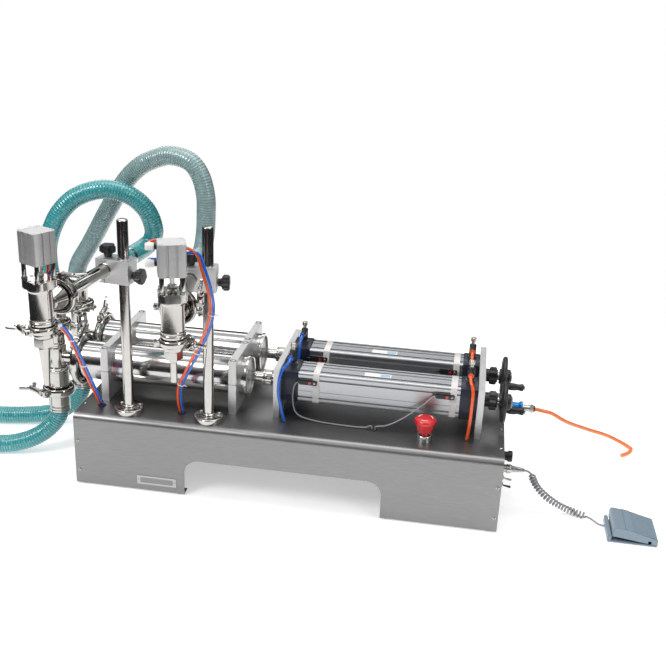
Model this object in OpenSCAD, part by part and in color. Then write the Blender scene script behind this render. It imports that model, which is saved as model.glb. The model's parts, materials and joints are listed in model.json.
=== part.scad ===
// Double-head piston liquid filler: a pneumatic bench machine with two filling
// cylinders, two air cylinders in line with them, and two nozzles on poles.
// Origin: centre of the base's footprint, on the bench. +X along the base towards
// the air cylinders, +Y to the back, +Z up. Millimetres.

/* [Base] */
// Length of the base
base_l = 800; // [780:5:830]
// Depth of the base
base_w = 300; // [296:2:320]
// Height of the base's top over the bench
base_h = 148; // [146:1:152]
// Thickness of the folded sheet
sheet = 2; // [1.5:0.5:3]
// Outer radius of the two long bends
bend_r = 12; // [6:1:20]
// Width of the opening between the feet
cutout_w = 372; // [300:4:400]
// Height of the opening between the feet
cutout_h = 76; // [50:2:90]

/* [Filling cylinders] */
// Height of the cylinders' axes over the base's top
axis_h = 60; // [58:1:66]
// Distance between the two cylinder axes
pitch = 117; // [115:1:125]
// Outside diameter of a filling tube
fill_od = 76; // [74:0.5:78]
// Bore of a filling tube
fill_id = 70; // [68:0.5:71]
// Diameter of the piston rods
rod_d = 20; // [16:1:22]
// Stroke of the pistons
stroke = 240; // [50:10:250]

/* [Air cylinders] */
// Side of the square end caps
cap_s = 65; // [62:1:70]
// Side of the extruded barrel
barrel_s = 60; // [56:1:61]
// Bore of the air cylinders
air_bore = 50; // [40:1:52]
// Diameter of the handwheels
wheel_d = 80; // [70:2:100]

/* [Nozzles] */
// Height of the poles' tops over the bench
pole_top = 520; // [500:5:600]
// Diameter of the poles
pole_d = 20; // [18:1:22]
// Height of the nozzle arms over the bench
arm_z = 426; // [420:1:430]
// Distance from the cross clamp to the nozzle's axis
arm_reach = 216; // [205:1:230]
// Diameter of the arm pipe
arm_d = 25; // [22:0.5:26]
// Diameter of the nozzle body
nozzle_d = 38; // [34:1:40]

/* [Hidden] */
$fn = 64;

eps = 0.01;
foot_h = 3;                    // rubber feet under the sheet
axis_z = base_h + axis_h;
row_y = 28.5;                  // middle of the two cylinders, from the base's centre
front_y = row_y - pitch / 2;
rear_y = row_y + pitch / 2;
plate_t = 15;                  // clamp plates of the filling cylinders
plate_h = 107;
plate_y = [-82, 140];
plate_x = [-369, -119];
bolt_y = [-75, 18.5, 38.5, 132];
tube_x = [-425, -88];          // ends of a filling tube
flange_r = 45.5;               // clamp flange on a tube's left end
stack_x = -480;                // vertical axis of the valve stacks
ferrule_r = 25.25;             // 1.5 inch sanitary ferrule
air_plate_t = 12;
air_plate_h = 99;
air_plate_y = [-77, 137];
air_plate_x = [-34, 344];
cap_l = 32;
barrel_x = [10, 312];
pole_x = [-303, -148];
pole_y = -113;
arm_offset = 30;               // pole axis to arm axis, across the clamp
turn_left = -7.7;              // turn of each cross clamp about its pole
turn_right = 9;
head_turn_left = -19;          // turn of each nozzle's air cylinder
head_turn_right = 12;
panel_x = base_l / 2;
fitting_y = -60;               // row of fittings on the right end panel
inlet_at = [panel_x, 125, 128]; // air inlet on the right end panel
estop_at = [254, -103];
gland_z = 86;
knob_z = 112;
toggle_z = [66, 51];
grommets = [[-360, -104, 8], [-204, -100, 8], [159, -84, 7], [-9, -90, 6], [331, -84, 6],
            [-8, 28, 6], [334, 28, 6]];
pedal_x = [598, 686];
pedal_y = [-135, -62];
pedal_pivot = [672, 8.5];

steel = [0.78, 0.79, 0.8];
brushed = [0.62, 0.63, 0.64];
alloy = [0.8, 0.81, 0.82];
black = [0.08, 0.08, 0.09];
navy = [0.09, 0.11, 0.15];
white = [0.94, 0.94, 0.92];
teal = [0.25, 0.62, 0.62];
grey_blue = [0.5, 0.58, 0.62];
blue = [0.1, 0.4, 0.85];
orange = [0.95, 0.35, 0.1];

// ---------------------------------------------------------------- helpers

// Axis along +X, starting at x
module along_x(x, y, z, d, l) {
    translate([x, y, z]) rotate([0, 90, 0]) cylinder(d = d, h = l);
}

// Axis along +Y
module along_y(x, y, z, d, l) {
    translate([x, y, z]) rotate([-90, 0, 0]) cylinder(d = d, h = l);
}

// Square bar with rounded edges along its height, centred on the axis
module rounded_bar(s, r, h) {
    linear_extrude(h) rounded_square(s, r);
}

module rounded_square(s, r) {
    square([s - 2 * r, s], center = true);
    square([s, s - 2 * r], center = true);
    for (x = [-1, 1], y = [-1, 1]) translate([x, y] * (s / 2 - r)) circle(r);
}

function unit(v) = v / norm(v);

// Catmull-Rom point between p[1] and p[2]
function spline(p, t) = 0.5 * (2 * p[1] + (p[2] - p[0]) * t
    + (2 * p[0] - 5 * p[1] + 4 * p[2] - p[3]) * t * t
    + (3 * p[1] - p[0] - 3 * p[2] + p[3]) * t * t * t);

function smooth(p, steps) = let (n = len(p)) [
    for (i = [0 : n - 2], k = [0 : steps - 1])
        spline([p[max(i - 1, 0)], p[i], p[i + 1], p[min(i + 2, n - 1)]], k / steps),
    p[n - 1]
];

function tangents(c, leave, arrive) = let (n = len(c)) [
    for (i = [0 : n - 1])
        i == 0 && !is_undef(leave) ? unit(leave)
        : i == n - 1 && !is_undef(arrive) ? unit(arrive)
        : unit(c[min(i + 1, n - 1)] - c[max(i - 1, 0)])
];

// Each normal is the one before it, turned square to the curve
function normals(t, first) = [
    for (i = 0, n = unit(first - (first * t[0]) * t[0]); i < len(t);
         i = i + 1, n = i < len(t) ? unit(n - (n * t[i]) * t[i]) : n) n
];

// Round tube of diameter d along the route's points, its ends square to leave and arrive
module hose(route, d, steps = 2, sides = 8, first = [0.3, 1, 0.2], leave = undef, arrive = undef) {
    c = smooth(route, steps);
    t = tangents(c, leave, arrive);
    n = normals(t, first);
    rings = len(c);
    points = [for (i = [0 : rings - 1], k = [0 : sides - 1])
        let (a = 360 * k / sides, b = cross(t[i], n[i])) c[i] + d / 2 * (cos(a) * n[i] + sin(a) * b)];
    walls = [for (i = [0 : rings - 2], k = [0 : sides - 1], half = [0, 1])
        let (m = (k + 1) % sides, a = i * sides, b = a + sides)
        half == 0 ? [a + k, b + k, b + m] : [a + k, b + m, a + m]];
    start = [for (k = [0 : sides - 1]) k];
    end = [for (k = [sides - 1 : -1 : 0]) (rings - 1) * sides + k];
    polyhedron(points, concat([start, end], walls), convexity = 10);
}

// ---------------------------------------------------------------- base

// Cross-section of the base in Y and Z, inset by a wall
module base_section(inset, low) {
    w = base_w / 2 - inset;
    top = base_h - inset;
    r = bend_r - inset;
    translate([-w, low]) square([2 * w, top - r - low]);
    translate([-w + r, low]) square([2 * (w - r), top - low]);
    for (s = [-1, 1]) translate([s * (w - r), top - r]) circle(r);
}

module section_bar(x, l) {
    translate([x, 0, 0]) rotate([90, 0, 90]) linear_extrude(l) children();
}

module base_cover() {
    r = 28;
    color(brushed) difference() {
        section_bar(-base_l / 2, base_l) base_section(0, foot_h);
        section_bar(-base_l / 2 - 1, base_l + 2) base_section(sheet, foot_h + sheet);
        translate([-base_l, -base_w / 2 + 20, 0]) cube([2 * base_l, base_w - 40, 2 * foot_h]);
        translate([0, base_w, 0]) rotate([90, 0, 0]) linear_extrude(2 * base_w) {
            translate([-cutout_w / 2, -1]) square([cutout_w, cutout_h - r + 1]);
            translate([-cutout_w / 2 + r, -1]) square([cutout_w - 2 * r, cutout_h + 1]);
            for (s = [-1, 1]) translate([s * (cutout_w / 2 - r), cutout_h - r]) circle(r);
        }
        for (g = grommets) translate([g[0], g[1], base_h - 10]) cylinder(r = g[2] - 1, h = 20);
        translate([estop_at[0], estop_at[1], base_h - 10]) cylinder(d = 22, h = 20);
    }
}

module end_panel(side) {
    wall = 1.5;
    x = side > 0 ? base_l / 2 - 14 : -base_l / 2;
    difference() {
        section_bar(x, 14) base_section(sheet, foot_h + sheet);
        section_bar(side > 0 ? x - 1 : x + sheet, 15 - sheet) base_section(sheet + wall, foot_h + sheet + wall);
        if (side > 0) {
            for (z = [gland_z, knob_z]) along_x(x, fitting_y, z, 12, 30);
            for (z = toggle_z) along_x(x, fitting_y, z, 6, 30);
            along_x(x, inlet_at[1], inlet_at[2], 12, 30);
        }
    }
}

module end_panels() {
    color(brushed) for (side = [-1, 1]) end_panel(side);
}

module rubber_feet() {
    color(black) for (x = [-384, -197, 197, 384], y = [-138, 138])
        translate([x, y, 0]) cylinder(d = 16, h = foot_h);
}

// Round-headed screw standing on a face
module screw_head(d, h) {
    rotate_extrude() intersection() {
        translate([0, -h * 2.5]) circle(h * 3.5);
        square([d / 2, h]);
    }
}

module socket_bolt(l) {
    difference() {
        union() {
            cylinder(d = 13, h = 8);
            translate([0, 0, -l]) cylinder(d = 8, h = l + eps);
        }
        translate([0, 0, 4]) cylinder(d = 6.9, h = 5, $fn = 6);
    }
}

module nameplate_and_screws() {
    color(alloy) translate([-240, -base_w / 2 - 0.5, 24]) cube([76, 1, 18], center = true);
    color(steel) {
        for (x = [-393, 393], z = [31, 93], s = [-1, 1])
            translate([x, s * base_w / 2, z]) rotate([-s * 90, 0, 0]) screw_head(7, 2);
        for (x = [-394, 394], y = [-103, -24, 54, 132])
            translate([x, y, base_h]) screw_head(7, 2);
        for (x = plate_x, y = bolt_y)
            translate([x + plate_t / 2, y, base_h + plate_h - 8]) socket_bolt(84);
        for (x = pole_x, a = [30, 150, 270])
            translate([x + 20 * cos(a), pole_y + 20 * sin(a), base_h + 10]) screw_head(8, 3);
        for (x = [-274, -206], z = 24)
            translate([x, -base_w / 2 - 1, z]) rotate([90, 0, 0]) screw_head(4, 1);
        for (s = [-1, 1], y = [-110, 110])
            translate([s * base_l / 2, y, 80]) rotate([0, s * 90, 0]) screw_head(7, 2);
    }
}

// Directional valves on their manifold, inside the base
module valve_bank() {
    color(alloy) translate([205, -50, 90]) cube([146, 60, 18]);
    color(black) for (i = [0 : 3]) translate([224 + 36 * i, 0, 0]) {
        translate([-11, -46, 55]) cube([22, 50, 34.9]);
        translate([-11, 5, 62]) cube([22, 14, 26]);
    }
}

// ---------------------------------------------------------------- filling cylinders

module clamp_plate(x, low, high) {
    difference() {
        translate([x, plate_y[0], low]) cube([plate_t, plate_y[1] - plate_y[0], high - low]);
        for (y = [front_y, rear_y]) along_x(x - 1, y, axis_z, fill_od, plate_t + 2);
        for (y = bolt_y) translate([x + plate_t / 2, y, base_h + plate_h - 92]) {
            cylinder(d = 8, h = 200);
            translate([0, 0, 84]) cylinder(d = 13, h = 20);
        }
    }
}

module clamp_plates_lower() {
    color(alloy) for (x = plate_x) clamp_plate(x, base_h, axis_z - 0.5);
}

module clamp_plates_upper() {
    color(alloy) for (x = plate_x) clamp_plate(x, axis_z + 0.5, base_h + plate_h);
}

module fill_tube(y) {
    translate([tube_x[0], y, axis_z]) rotate([0, 90, 0]) rotate_extrude() difference() {
        union() {
            square([fill_od / 2, tube_x[1] - tube_x[0]]);
            square([flange_r, 4]);
            translate([0, tube_x[1] - tube_x[0] - 5]) square([fill_od / 2 + 2.5, 5]);
        }
        translate([0, -1]) square([fill_id / 2, tube_x[1] - tube_x[0] + 2]);
    }
}

module fill_tubes() {
    color(steel) for (y = [front_y, rear_y]) fill_tube(y);
}

// End dish of a filling cylinder, its pipe and the vertical tee
module valve_tee(y) {
    difference() {
        union() {
            translate([tube_x[0], y, axis_z]) rotate([0, -90, 0]) rotate_extrude() polygon([
                [0, 0], [flange_r, 0], [flange_r, 4], [fill_od / 2, 5], [30, 14], [12.5, 22], [0, 22]]);
            along_x(stack_x, y, axis_z, 25, -stack_x - 440);
            translate([stack_x, y, axis_z - 20]) cylinder(d = 38, h = 42);
        }
        translate([stack_x, y, axis_z - 30]) cylinder(d = 20, h = 70);
        along_x(stack_x, y, axis_z, 20, 100);
    }
}

module valve_tees() {
    color(steel) for (y = [front_y, rear_y]) valve_tee(y);
}

lower_joint_z = 137;
upper_joint_z = 276;

// Body of a non-return valve with a ferrule at its outer end
module check_valve(y, from, to, d) {
    up = to > from;
    l = abs(to - from);
    translate([stack_x, y, from]) mirror([0, 0, up ? 0 : 1]) rotate_extrude() difference() {
        union() {
            square([d / 2, l]);
            translate([0, l - 4]) square([ferrule_r, 4]);
        }
        translate([0, 3]) square([d / 2 - 4, l - 9]);
        translate([0, -1]) square([10, l + 2]);
    }
}

module check_valves() {
    color(steel) for (y = [front_y, rear_y]) {
        check_valve(y, axis_z + 22, upper_joint_z, 34);
        check_valve(y, axis_z - 20, lower_joint_z, 44);
    }
}

// Ferrule with the crimped sleeve that holds a hose
module hose_tail(y, from, to) {
    up = to > from;
    l = abs(to - from);
    translate([stack_x, y, from]) mirror([0, 0, up ? 0 : 1]) rotate_extrude() difference() {
        union() {
            square([ferrule_r, 4]);
            square([15, l]);
            translate([0, 9]) square([20.5, l - 9]);
        }
        translate([0, -1]) square([11, l + 2]);
    }
}

module hose_tails() {
    color(steel) for (y = [front_y, rear_y]) {
        hose_tail(y, upper_joint_z, 338);
        hose_tail(y, lower_joint_z, 92);
    }
}

// Sanitary clamp around two ferrules, its axis along +Z, with its bolt ears towards -X.
// The ears and the hinge lie in the ring's plane; the bolt runs square to the ears.
module clamp_ring(r, w = 16) {
    rotate_extrude() translate([r + 0.1, -w / 2]) square([6.5, w]);
    for (y = [-1, 1]) translate([-r - 15, y * 6 - 2.5, -w / 2 + 2]) cube([11, 5, w - 4]);
    translate([r + 4, -5, -w / 2 + 2]) cube([10, 10, w - 4]);
}

// Clamp bolt that lies along Y through the ears, with its wing nut
module clamp_bolt(r, l = 30) {
    along_y(-r - 11, -15, 0, 10, 6);
    along_y(-r - 11, -14, 0, 6, l + 14);
    along_y(-r - 11, 8.5, 0, 12, l - 14);
    for (s = [-1, 1]) translate([-r - 11, l - 9, 0]) rotate([0, 0, s * 42]) {
        translate([-3 - s, 0, -2.5]) cube([6, 20, 5]);
        translate([-s, 20, -2.5]) cylinder(d = 9, h = 5);
    }
}

module pipe_clamps() {
    color(steel) for (y = [front_y, rear_y]) {
        translate([stack_x, y, lower_joint_z]) rotate([0, 0, 60]) {
            clamp_ring(ferrule_r);
            clamp_bolt(ferrule_r, 44);
        }
        translate([stack_x, y, upper_joint_z]) rotate([0, 0, 150]) {
            clamp_ring(ferrule_r);
            clamp_bolt(ferrule_r);
        }
        translate([tube_x[0], y, axis_z]) rotate([0, 90, 0]) rotate([0, 0, 20]) {
            clamp_ring(flange_r, 14);
            clamp_bolt(flange_r);
        }
    }
}

// White piston with two seal grooves, threaded on the rod's end
module fill_piston(y) {
    color(white) translate([-116, y, axis_z]) rotate([0, 90, 0]) rotate_extrude() difference() {
        square([fill_id / 2 - 0.1, 24]);
        translate([0, -1]) square([6, 26]);
        for (z = [5, 15]) translate([fill_id / 2 - 3, z]) square([4, 4]);
    }
}

module fill_piston_front() {
    fill_piston(front_y);
}

module fill_piston_rear() {
    fill_piston(rear_y);
}

// Rod from the filling piston through its coupling to the air piston
module piston_rod(y) {
    color(steel) {
        along_x(-118, y, axis_z, 12, 26 + eps);
        along_x(-124, y, axis_z, 22, 8);
        along_x(-92, y, axis_z, rod_d, 373);
        difference() {
            along_x(-62, y, axis_z, 30, 17);
            along_x(-63, y, axis_z, rod_d - 1, 19);
        }
        difference() {
            along_x(281, y, axis_z, air_bore - 0.2, 18);
            translate([288, y, axis_z]) rotate([0, 90, 0]) difference() {
                cylinder(d = air_bore + 2, h = 4);
                cylinder(d = air_bore - 6, h = 4);
            }
        }
    }
}

module piston_rod_front() {
    piston_rod(front_y);
}

module piston_rod_rear() {
    piston_rod(rear_y);
}

// ---------------------------------------------------------------- air cylinders

module air_plates() {
    color(alloy) for (x = air_plate_x) difference() {
        translate([x, air_plate_y[0], base_h])
            cube([air_plate_t, air_plate_y[1] - air_plate_y[0], air_plate_h]);
        for (y = [front_y, rear_y]) along_x(x - 1, y, axis_z, x < 0 ? 32 : 17, air_plate_t + 2);
    }
}

module air_barrel(y) {
    translate([barrel_x[0], y, axis_z]) rotate([90, 0, 90]) linear_extrude(barrel_x[1] - barrel_x[0])
    difference() {
        rounded_square(barrel_s, 5);
        circle(d = air_bore);
        for (a = [0 : 90 : 270]) rotate(a) {
            for (s = [-1, 1]) translate([s * 18, barrel_s / 2]) square([5, 7], center = true);
            translate([0, barrel_s / 2]) square([14, 2], center = true);
        }
    }
}

module air_barrels() {
    color(steel) for (y = [front_y, rear_y]) air_barrel(y);
}

module air_cap(x, y, bore) {
    difference() {
        translate([x, y, axis_z]) rotate([90, 0, 90]) rounded_bar(cap_s, 7, cap_l);
        along_x(x - 1, y, axis_z, bore, cap_l + 2);
        translate([x + cap_l / 2, y, axis_z + cap_s / 2 - 10]) cylinder(d = 10, h = 12);
    }
}

module air_caps() {
    color(navy) for (y = [front_y, rear_y]) {
        air_cap(barrel_x[0] - cap_l, y, rod_d + 0.1);
        air_cap(barrel_x[1], y, 16.1);
    }
}

// Elbow with a needle screw that sets the air cylinder's speed
module speed_valve(x, y) {
    top = axis_z + cap_s / 2;
    translate([x, y, top]) {
        translate([0, 0, -10]) cylinder(d = 10, h = 10 + eps);
        cylinder(d = 17, h = 5, $fn = 6);
        translate([0, 0, 5 - eps]) cylinder(d = 13, h = 25);
        translate([0, 0, 30 - 2 * eps]) cylinder(d = 8, h = 6);
        translate([0, 0, 36 - 3 * eps]) cylinder(d = 11, h = 8);
        along_y(0, -28, 23, 12, 28);
    }
}

valve_x = [-6, 328];

module speed_valves() {
    color(black) for (x = valve_x, y = [front_y, rear_y]) speed_valve(x, y);
}

// Strap around the barrel with the position sensor on its front face
module reed_sensor(x, y) {
    difference() {
        translate([x, y, axis_z]) rotate([90, 0, 90]) rounded_bar(barrel_s + 2, 6, 12);
        translate([x - 1, y, axis_z]) rotate([90, 0, 90]) rounded_bar(barrel_s, 5, 14);
    }
    translate([x - 26, y - barrel_s / 2 - 6, axis_z + 8]) cube([26 + eps, 5.5, 9]);
    translate([x, y - barrel_s / 2 - 6, axis_z + 8]) cube([8, 5.2, 9]);
}

module reed_sensors() {
    color(black) for (x = [38, 294], y = [front_y, rear_y]) reed_sensor(x, y);
}

// Dished wheel on the stop spindle, with the star nut that locks the spindle
module handwheel(y) {
    r = wheel_d / 2;
    color(black) translate([0, y, axis_z]) rotate([crank_a(y), 0, 0]) {
        translate([384, 0, 0]) rotate([0, 90, 0]) difference() {
            rotate_extrude() {
                translate([7.95, 0]) square([7, 22]);
                translate([14, 4]) square([r - 18, 4]);
                translate([r - 5, 9]) circle(5);
            }
            for (a = [0 : 60 : 300]) rotate(a) translate([24, 0, 0]) cylinder(d = 9, h = 20);
        }
        translate([357, 0, 0]) rotate([0, 90, 0]) difference() {
            union() {
                cylinder(d = 26, h = 24);
                for (a = [0 : 60 : 300]) rotate(a) translate([14, 0, 8]) cylinder(d = 9, h = 14);
            }
            translate([0, 0, -1]) cylinder(d = 15.9, h = 26);
        }
    }
    color(steel) {
        along_x(303, y, axis_z, 16, 106);
        translate([0, y, axis_z]) rotate([crank_a(y), 0, 0]) translate([0, 26, 0]) {
            along_x(387, 0, 0, 6, 46);
            along_x(433 - eps, 0, 0, 10, 2.5);
        }
    }
}

// Where each crank handle stands at rest, from +Y towards +Z
function crank_a(y) = y == front_y ? 300 : 200;

module handwheel_front() {
    handwheel(front_y);
}

module handwheel_rear() {
    handwheel(rear_y);
}

module crank_handle(y) {
    color(black) translate([400, y, axis_z]) rotate([crank_a(y), 0, 0]) translate([0, 26, 0])
    rotate([0, 90, 0]) rotate_extrude() difference() {
        polygon([[0, 0], [5, 0], [7, 3], [7.5, 12], [6, 22], [7.5, 29], [6, 32.5], [0, 32.5]]);
        translate([0, -1]) square([3.1, 40]);
    }
}

module crank_handle_front() {
    crank_handle(front_y);
}

module crank_handle_rear() {
    crank_handle(rear_y);
}

// ---------------------------------------------------------------- nozzle stands

module poles() {
    length = pole_top - base_h;
    color(steel) for (x = pole_x) translate([x, pole_y, base_h]) {
        difference() {
            cylinder(d = 56, h = 10);
            translate([0, 0, -1]) cylinder(d = pole_d + 0.1, h = 20);
            for (a = [30, 150, 270]) rotate(a) translate([20, 0, -1]) cylinder(d = 4, h = 20);
        }
        rotate_extrude() polygon([
            [0, 0], [pole_d / 2, 0], [pole_d / 2, length - 2], [pole_d / 2 - 2, length], [0, length]]);
    }
}

// Frame of a cross clamp: its pole's axis, turned with the arm
module at_clamp(side) {
    translate([pole_x[side], pole_y, 0]) rotate([0, 0, side == 0 ? turn_left : turn_right])
        children();
}

function reach(side) = arm_reach + (side == 0 ? 4 : -4) - 2;

// Frame of a nozzle: its own axis
module at_nozzle(side) {
    at_clamp(side) translate([-arm_offset, -reach(side), 0]) children();
}

module cross_clamp(side) {
    color(alloy) at_clamp(side) difference() {
        translate([-47, -18, arm_z - 23]) cube([64, 36, 45]);
        translate([0, 0, arm_z - 40]) cylinder(d = pole_d + 0.1, h = 80);
        along_y(-arm_offset, -20, arm_z, arm_d, 40);
        translate([-arm_offset, 0, arm_z]) cylinder(d = 8.1, h = 30);
        along_x(9, 0, arm_z - 8, 8.1, 20);
    }
}

module cross_clamp_left() {
    cross_clamp(0);
}

module cross_clamp_right() {
    cross_clamp(1);
}

// Star knob on a threaded stud, seat at the origin, the stud pointing down
module star_knob(stud) {
    translate([0, 0, 8]) {
        cylinder(d = 22, h = 14);
        for (a = [0 : 72 : 288]) rotate(a) translate([11, 0, 0]) cylinder(d = 9, h = 14);
    }
    translate([0, 0, -stud]) cylinder(d = 8, h = stud + 8 + eps);
    translate([0, 0, 1]) cylinder(d = 14, h = 7 + eps);
}

module pole_knob(side) {
    color(black) at_clamp(side) translate([17, 0, arm_z - 8]) rotate([0, 90, 0]) star_knob(6.5);
}

module arm_knob(side) {
    color(black) at_clamp(side) translate([-arm_offset, 0, arm_z + 22]) star_knob(9);
}

module pole_knob_left() {
    pole_knob(0);
}

module pole_knob_right() {
    pole_knob(1);
}

module arm_knob_left() {
    arm_knob(0);
}

module arm_knob_right() {
    arm_knob(1);
}

arm_back = 84;
joint_back = 55;               // nozzle axis to the clamp of its arm

// Product pipe with the ferrule that meets the nozzle
module arm(side) {
    y = joint_back - reach(side);
    color(steel) at_clamp(side) difference() {
        union() {
            along_y(-arm_offset, y, arm_z, arm_d, arm_back - y);
            along_y(-arm_offset, y, arm_z, 2 * ferrule_r, 4);
            along_y(-arm_offset, y + 4 - eps, arm_z, 36, 5);
        }
        along_y(-arm_offset, y - 1, arm_z, arm_d - 4, 300);
    }
}

module arm_left() {
    arm(0);
}

module arm_right() {
    arm(1);
}

body_top = 472;
body_low = 400;

module nozzle_body(side) {
    color(steel) at_nozzle(side) {
        difference() {
            union() {
                translate([0, 0, body_low]) cylinder(d = nozzle_d, h = body_top - body_low);
                translate([0, 0, body_low - 16]) cylinder(d = nozzle_d - 4, h = 17);
                translate([0, 0, body_low - 4]) cylinder(d = nozzle_d + 3, h = 6);
                rotate([0, 0, side == 0 ? head_turn_left : head_turn_right])
                    translate([0, 0, body_top - 14]) rounded_bar(46, 8, 14);
                translate([0, 0, arm_z]) rotate([-90, 0, 0]) rotate_extrude() polygon([
                    [0, 0], [13, 0], [13, nozzle_d / 2], [22, joint_back - 10],
                    [22, joint_back - 4], [ferrule_r, joint_back - 4], [ferrule_r, joint_back],
                    [0, joint_back]]);
            }
            translate([0, 0, body_low - 20]) cylinder(d = nozzle_d - 12, h = body_top - body_low + 14);
            translate([0, 0, body_top - 20]) cylinder(d = 8.1, h = 40);
            translate([0, 0, arm_z]) rotate([-90, 0, 0]) rotate_extrude()
                polygon([[0, 0], [11, 0], [11, 18], [18, 50], [10.5, joint_back + 1], [0, joint_back + 1]]);
        }
        // clamp of the arm, bolt beside the pipe
        translate([0, joint_back, arm_z]) rotate([0, side == 0 ? 90 : 0, 0]) rotate([90, 0, 0])
            mirror([side == 0 ? 0 : 1, 0, 0]) {
                clamp_ring(ferrule_r);
                clamp_bolt(ferrule_r);
            }
        // clamp of the spout
        translate([0, 0, 388]) rotate([0, 0, side == 0 ? 60 : 200]) {
            clamp_ring(nozzle_d / 2 - 2, 12);
            clamp_bolt(nozzle_d / 2 - 2);
        }
    }
}

module nozzle_body_left() {
    nozzle_body(0);
}

module nozzle_body_right() {
    nozzle_body(1);
}

stand_h = 27;
stand_d = 7;
head_s = 44;
head_h = 52;
elbow_z = [45, 18];            // heights of the two elbows on the cylinder

module at_head(side) {
    at_nozzle(side) rotate([0, 0, side == 0 ? head_turn_left : head_turn_right])
        translate([0, 0, body_top]) children();
}

// Compact air cylinder on its standoffs, with two push-in elbows
module nozzle_cylinder(side) {
    color(steel) at_head(side) {
        for (x = [-1, 1], y = [-1, 1]) translate([x * 16, y * 16, 0]) cylinder(d = stand_d, h = stand_h);
        translate([0, 0, stand_h]) difference() {
            linear_extrude(head_h) difference() {
                rounded_square(head_s, 6);
                for (a = [0 : 90 : 270], s = [-1, 1]) rotate(a) translate([s * 7, head_s / 2])
                    square([4, 5], center = true);
            }
            translate([0, 0, -1]) cylinder(d = 8.1, h = 12);
            translate([0, 0, 10]) cylinder(d = 32, h = 36);
            translate([0, 0, head_h - 2]) cylinder(d = 30, h = 3);
            for (x = [-1, 1], y = [-1, 1]) translate([x * 16, y * 16, head_h - 5]) cylinder(d = 6, h = 6);
        }
    }
    color(white) at_head(side) for (z = elbow_z) translate([-head_s / 2, 0, stand_h + z]) {
        along_x(-6, 0, 0, 8, 5.9);
        along_x(-18, 0, 0, 12, 13);
        along_y(-11, 0, 0, 9, 14);
    }
}

module nozzle_cylinder_left() {
    nozzle_cylinder(0);
}

module nozzle_cylinder_right() {
    nozzle_cylinder(1);
}

// Valve stem: piston in the cylinder, rod with a coupling nut, shut-off cone in the spout
module nozzle_stem(side) {
    color(steel) at_nozzle(side) {
        translate([0, 0, 366]) cylinder(d = 8, h = 151);
        translate([0, 0, 475]) cylinder(d = 13, h = 8, $fn = 6);
        translate([0, 0, 510]) cylinder(d = 31.8, h = 8);
        translate([0, 0, 358]) cylinder(d1 = 4, d2 = 14, h = 8 + eps);
    }
}

module nozzle_stem_left() {
    nozzle_stem(0);
}

module nozzle_stem_right() {
    nozzle_stem(1);
}

// Spout held under the body by its clamp. The left one tapers; the right one is a straight tube.
module nozzle_spout(side) {
    low = side == 0 ? 288 : 318;
    color(steel) at_nozzle(side) difference() {
        union() {
            translate([0, 0, 374]) cylinder(d = nozzle_d - 4, h = 10);
            translate([0, 0, 358]) cylinder(d = side == 0 ? 30 : 26, h = 16 + eps, $fn = 6);
            if (side == 0) translate([0, 0, low]) cylinder(d1 = 9, d2 = 20, h = 358 - low + eps);
            else translate([0, 0, low]) cylinder(d = 11, h = 358 - low + eps);
        }
        translate([0, 0, low - 1]) cylinder(d = 6, h = 100);
        translate([0, 0, 357]) cylinder(d1 = 6, d2 = 16, h = 9);
        translate([0, 0, 366 - eps]) cylinder(d = 20, h = 30);
    }
}

module nozzle_spout_left() {
    nozzle_spout(0);
}

module nozzle_spout_right() {
    nozzle_spout(1);
}

// ---------------------------------------------------------------- controls

module estop_button() {
    color([0.85, 0.08, 0.06]) translate([estop_at[0], estop_at[1], 0]) {
        translate([0, 0, 118]) cylinder(d = 15.8, h = 50);
        translate([0, 0, 166]) rotate_extrude() polygon([
            [0, 0], [14, 0], [15, 3], [20, 8], [20, 16], [18.5, 21], [15, 25], [8, 27.5], [0, 28]]);
    }
}

module panel_ring(x, y, z, d, bore, l) {
    difference() {
        along_x(x, y, z, d, l);
        along_x(x - 1, y, z, bore, l + 2);
    }
}

slide_x = panel_x + 16;

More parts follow.
